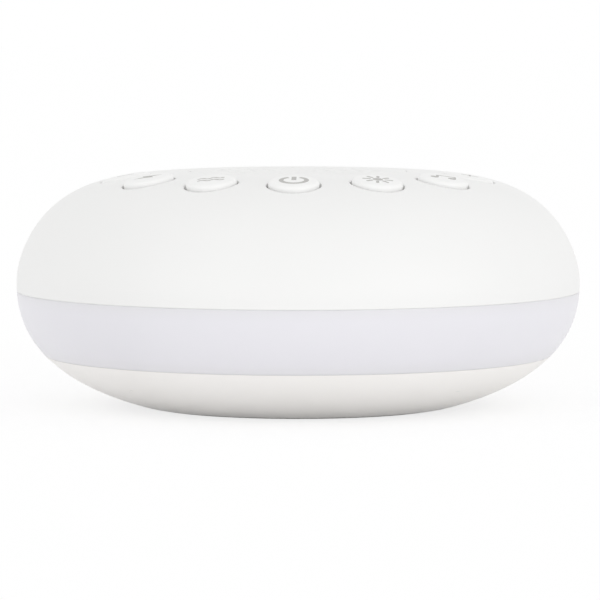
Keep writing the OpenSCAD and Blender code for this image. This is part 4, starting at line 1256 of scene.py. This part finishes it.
# %% Plain finishes inside
finishes = {
    "shell_abs": satin_abs, "cap_abs": smooth_abs, "diffuser_pc": milky_polycarbonate,
    "base_abs": warm_abs, "foot_silicone": silicone,
    # Nylon from a mould: black, with a dull even sheen
    "black_nylon": plain("black_nylon", "#232325", "#2b2b2d", 0.55, 0.3, 0.003),
    # Zinc-plated steel: bright, with fine rings from the header
    "screw_steel": plain("zinc_plated_steel", "#b9babd", "#a9abb0", 0.32, 0.15, 0.002, metallic=1.0),
    # Closed-cell foam: dead black, full of small pits
    "foam": plain("closed_cell_foam", "#2a2a2c", "#363638", 0.95, 0.5, 0.08),
    # Grey lacquer on pressed steel: smooth, a little uneven like all thin lacquer
    "frame_steel": plain("lacquered_steel", "#6f7175", "#64666a", 0.4, 0.8, 0.004),
    # Soft rubber: black and matt
    "roll_rubber": plain("soft_rubber", "#222225", "#2c2c2f", 0.75, 0.4, 0.006, ior=1.52),
    # Pressed paper pulp: black, with short fibres
    "cone_paper": plain("paper_pulp", "#26262a", "#35353a", 0.9, 0.35, 0.03, stretch=(1, 1, 0.3)),
    # Resin-stiffened cotton: tawny, with a coarse hand
    "spider_cloth": plain("stiffened_cotton", "#c29b55", "#a9813d", 0.85, 0.4, 0.03),
    # Sintered ferrite: dark grey like slate, faintly sparkling where it was ground
    "ferrite": plain("sintered_ferrite", "#38393d", "#2e2f33", 0.5, 0.25, 0.008, ior=2.0),
    # Plain inner moulding in uncoloured ABS: off-white and even
    "chamber_abs": plain("inner_abs", "#dddbd6", "#d5d3cd", 0.5, 0.5, 0.006),
    # Bright white moulding that throws the lamps' light outwards
    "reflector_white": plain("reflector_white", "#fafafa", "#f4f4f3", 0.3, 0.6, 0.002),
    # Epoxy packages with a fine matt texture
    "chip_epoxy": plain("chip_epoxy", "#232427", "#2b2c2f", 0.6, 0.12, 0.004),
    # Drawn aluminium cans: bright metal with a faint vertical draw
    "can_aluminium": plain("drawn_aluminium", "#cfd1d4", "#bfc2c6", 0.28, 0.2, 0.002, metallic=1.0,
                           stretch=(1, 1, 0.1)),
    # Natural nylon: creamy white, slightly waxy
    "connector_nylon": plain("natural_nylon", "#f0ece0", "#e8e3d4", 0.45, 0.4, 0.003),
    # Laminated foil of the cell: soft metal with long gentle dents
    "cell_foil": plain("laminated_foil", "#c6c8cb", "#b7babf", 0.38, 3.0, 0.05, metallic=0.9),
    # Nickel-plated steel of the inlet: warm bright metal
    "socket_steel": plain("nickel_plated_steel", "#cfccc6", "#bdb9b2", 0.22, 0.25, 0.001, metallic=1.0),
    # Polyimide film of the ribbon: amber and glossy
    "ribbon_film": plain("polyimide_film", "#b8752e", "#a5651f", 0.25, 0.8, 0.002, ior=1.7),
    # White solder mask under the lamps
    "board_white": plain("white_solder_mask", "#f0f0ec", "#e8e8e3", 0.35, 0.6, 0.003),
    # Phosphor under clear resin: yellow while it is unlit
    "led_phosphor": plain("phosphor_resin", "#eee08a", "#e6d67a", 0.3, 0.2, 0.002),
}
print(len(finishes), "finishes")


# %% Finishes with a rule
def woven_wire(pitch=0.5):
    """Steel wire cloth under black oxide: a square weave, drawn coarse so that it can show."""
    made, tree, shader, place = finish("black_wire_cloth", "#242427", 0.5, metallic=1.0)
    waves = []
    for axis in ("X", "Y"):
        across = add(tree, "ShaderNodeTexWave", {"Vector": place, "Scale": 1 / (pitch * MM) * pi / 10},
                     wave_type="BANDS", bands_direction=axis, wave_profile="SIN")
        waves.append(across.outputs["Fac"])
    both = add(tree, "ShaderNodeMath", {0: waves[0], 1: waves[1]}, operation="MAXIMUM").outputs[0]
    tint(tree, shader, both, "#0b0b0c", "#3c3c40")
    emboss(tree, shader, both, 0.08)
    return made


def green_solder_mask():
    """Glass-epoxy board under green lacquer: copper tracks and pads shine through a little paler."""
    made, tree, shader, place = finish("green_solder_mask", "#2c6a49", 0.3)
    cells = add(tree, "ShaderNodeTexVoronoi", {"Vector": place, "Scale": 1 / (2.6 * MM), "Randomness": 0.4},
                feature="F1", distance="MANHATTAN")
    bands = add(tree, "ShaderNodeMath", {0: cells.outputs["Distance"], 1: 9.0}, operation="MULTIPLY")
    tracks = add(tree, "ShaderNodeMath", {0: bands}, operation="SINE")
    edge = add(tree, "ShaderNodeMapRange", {"Value": tracks, "From Min": 0.5, "From Max": 0.7}).outputs[0]
    tint(tree, shader, edge, "#26603f", "#3a7f58")
    emboss(tree, shader, edge, 0.035)
    return made


def enamelled_copper(pitch=0.2):
    """The coil's winding: turns of enamelled copper wire, one above the other."""
    made, tree, shader, place = finish("enamelled_copper", "#b87333", 0.3, metallic=1.0)
    rounds = add(tree, "ShaderNodeTexWave", {"Vector": place, "Scale": 1 / (pitch * MM) * pi / 10},
                 wave_type="BANDS", bands_direction="Z", wave_profile="SIN")
    tint(tree, shader, rounds.outputs["Fac"], "#7a4318", "#c98445")
    emboss(tree, shader, rounds.outputs["Fac"], 0.06)
    return made


def lead_pair(name, axis, middle, first, second):
    """Soft PVC of two leads that lie side by side: one colour on each side of their middle."""
    made, tree, shader, place = finish(name, first, 0.35)
    side = add(tree, "ShaderNodeSeparateXYZ", {"Vector": place}).outputs[axis]
    above = add(tree, "ShaderNodeMath", {0: side, 1: middle * MM}, operation="GREATER_THAN")
    tint(tree, shader, above.outputs[0], second, first)
    grain(tree, shader, place, 0.6, 0.004)
    return made


finishes["mesh_steel"] = woven_wire()
finishes["board_green"] = green_solder_mask()
finishes["copper_wire"] = enamelled_copper()
own_finish = {
    "speaker_leads": lead_pair("pvc_red_black", "X", 0.0, "#b8302a", "#232325"),
    "inlet_leads": lead_pair("pvc_inlet_pair", "X", -6.0, "#b8302a", "#232325"),
    "battery_leads": lead_pair("pvc_battery_pair", "Y", 6.0, "#b8302a", "#232325"),
    "led_leads": lead_pair("pvc_white_yellow", "Y", 5.0, "#ecece8", "#d3ac34"),
}

# %% Dress the construction's own nodes
slot_of = {row["node"]: row["material_slot"] for row in frame["record"]["subparts"]}
for name, node in nodes.items():
    look_of_node = own_finish.get(name) or finishes[slot_of[name]]
    if not node.material_slots:
        node.data.materials.append(look_of_node)
    for place_for in node.material_slots:
        place_for.material = look_of_node
print(len(nodes), "nodes dressed")
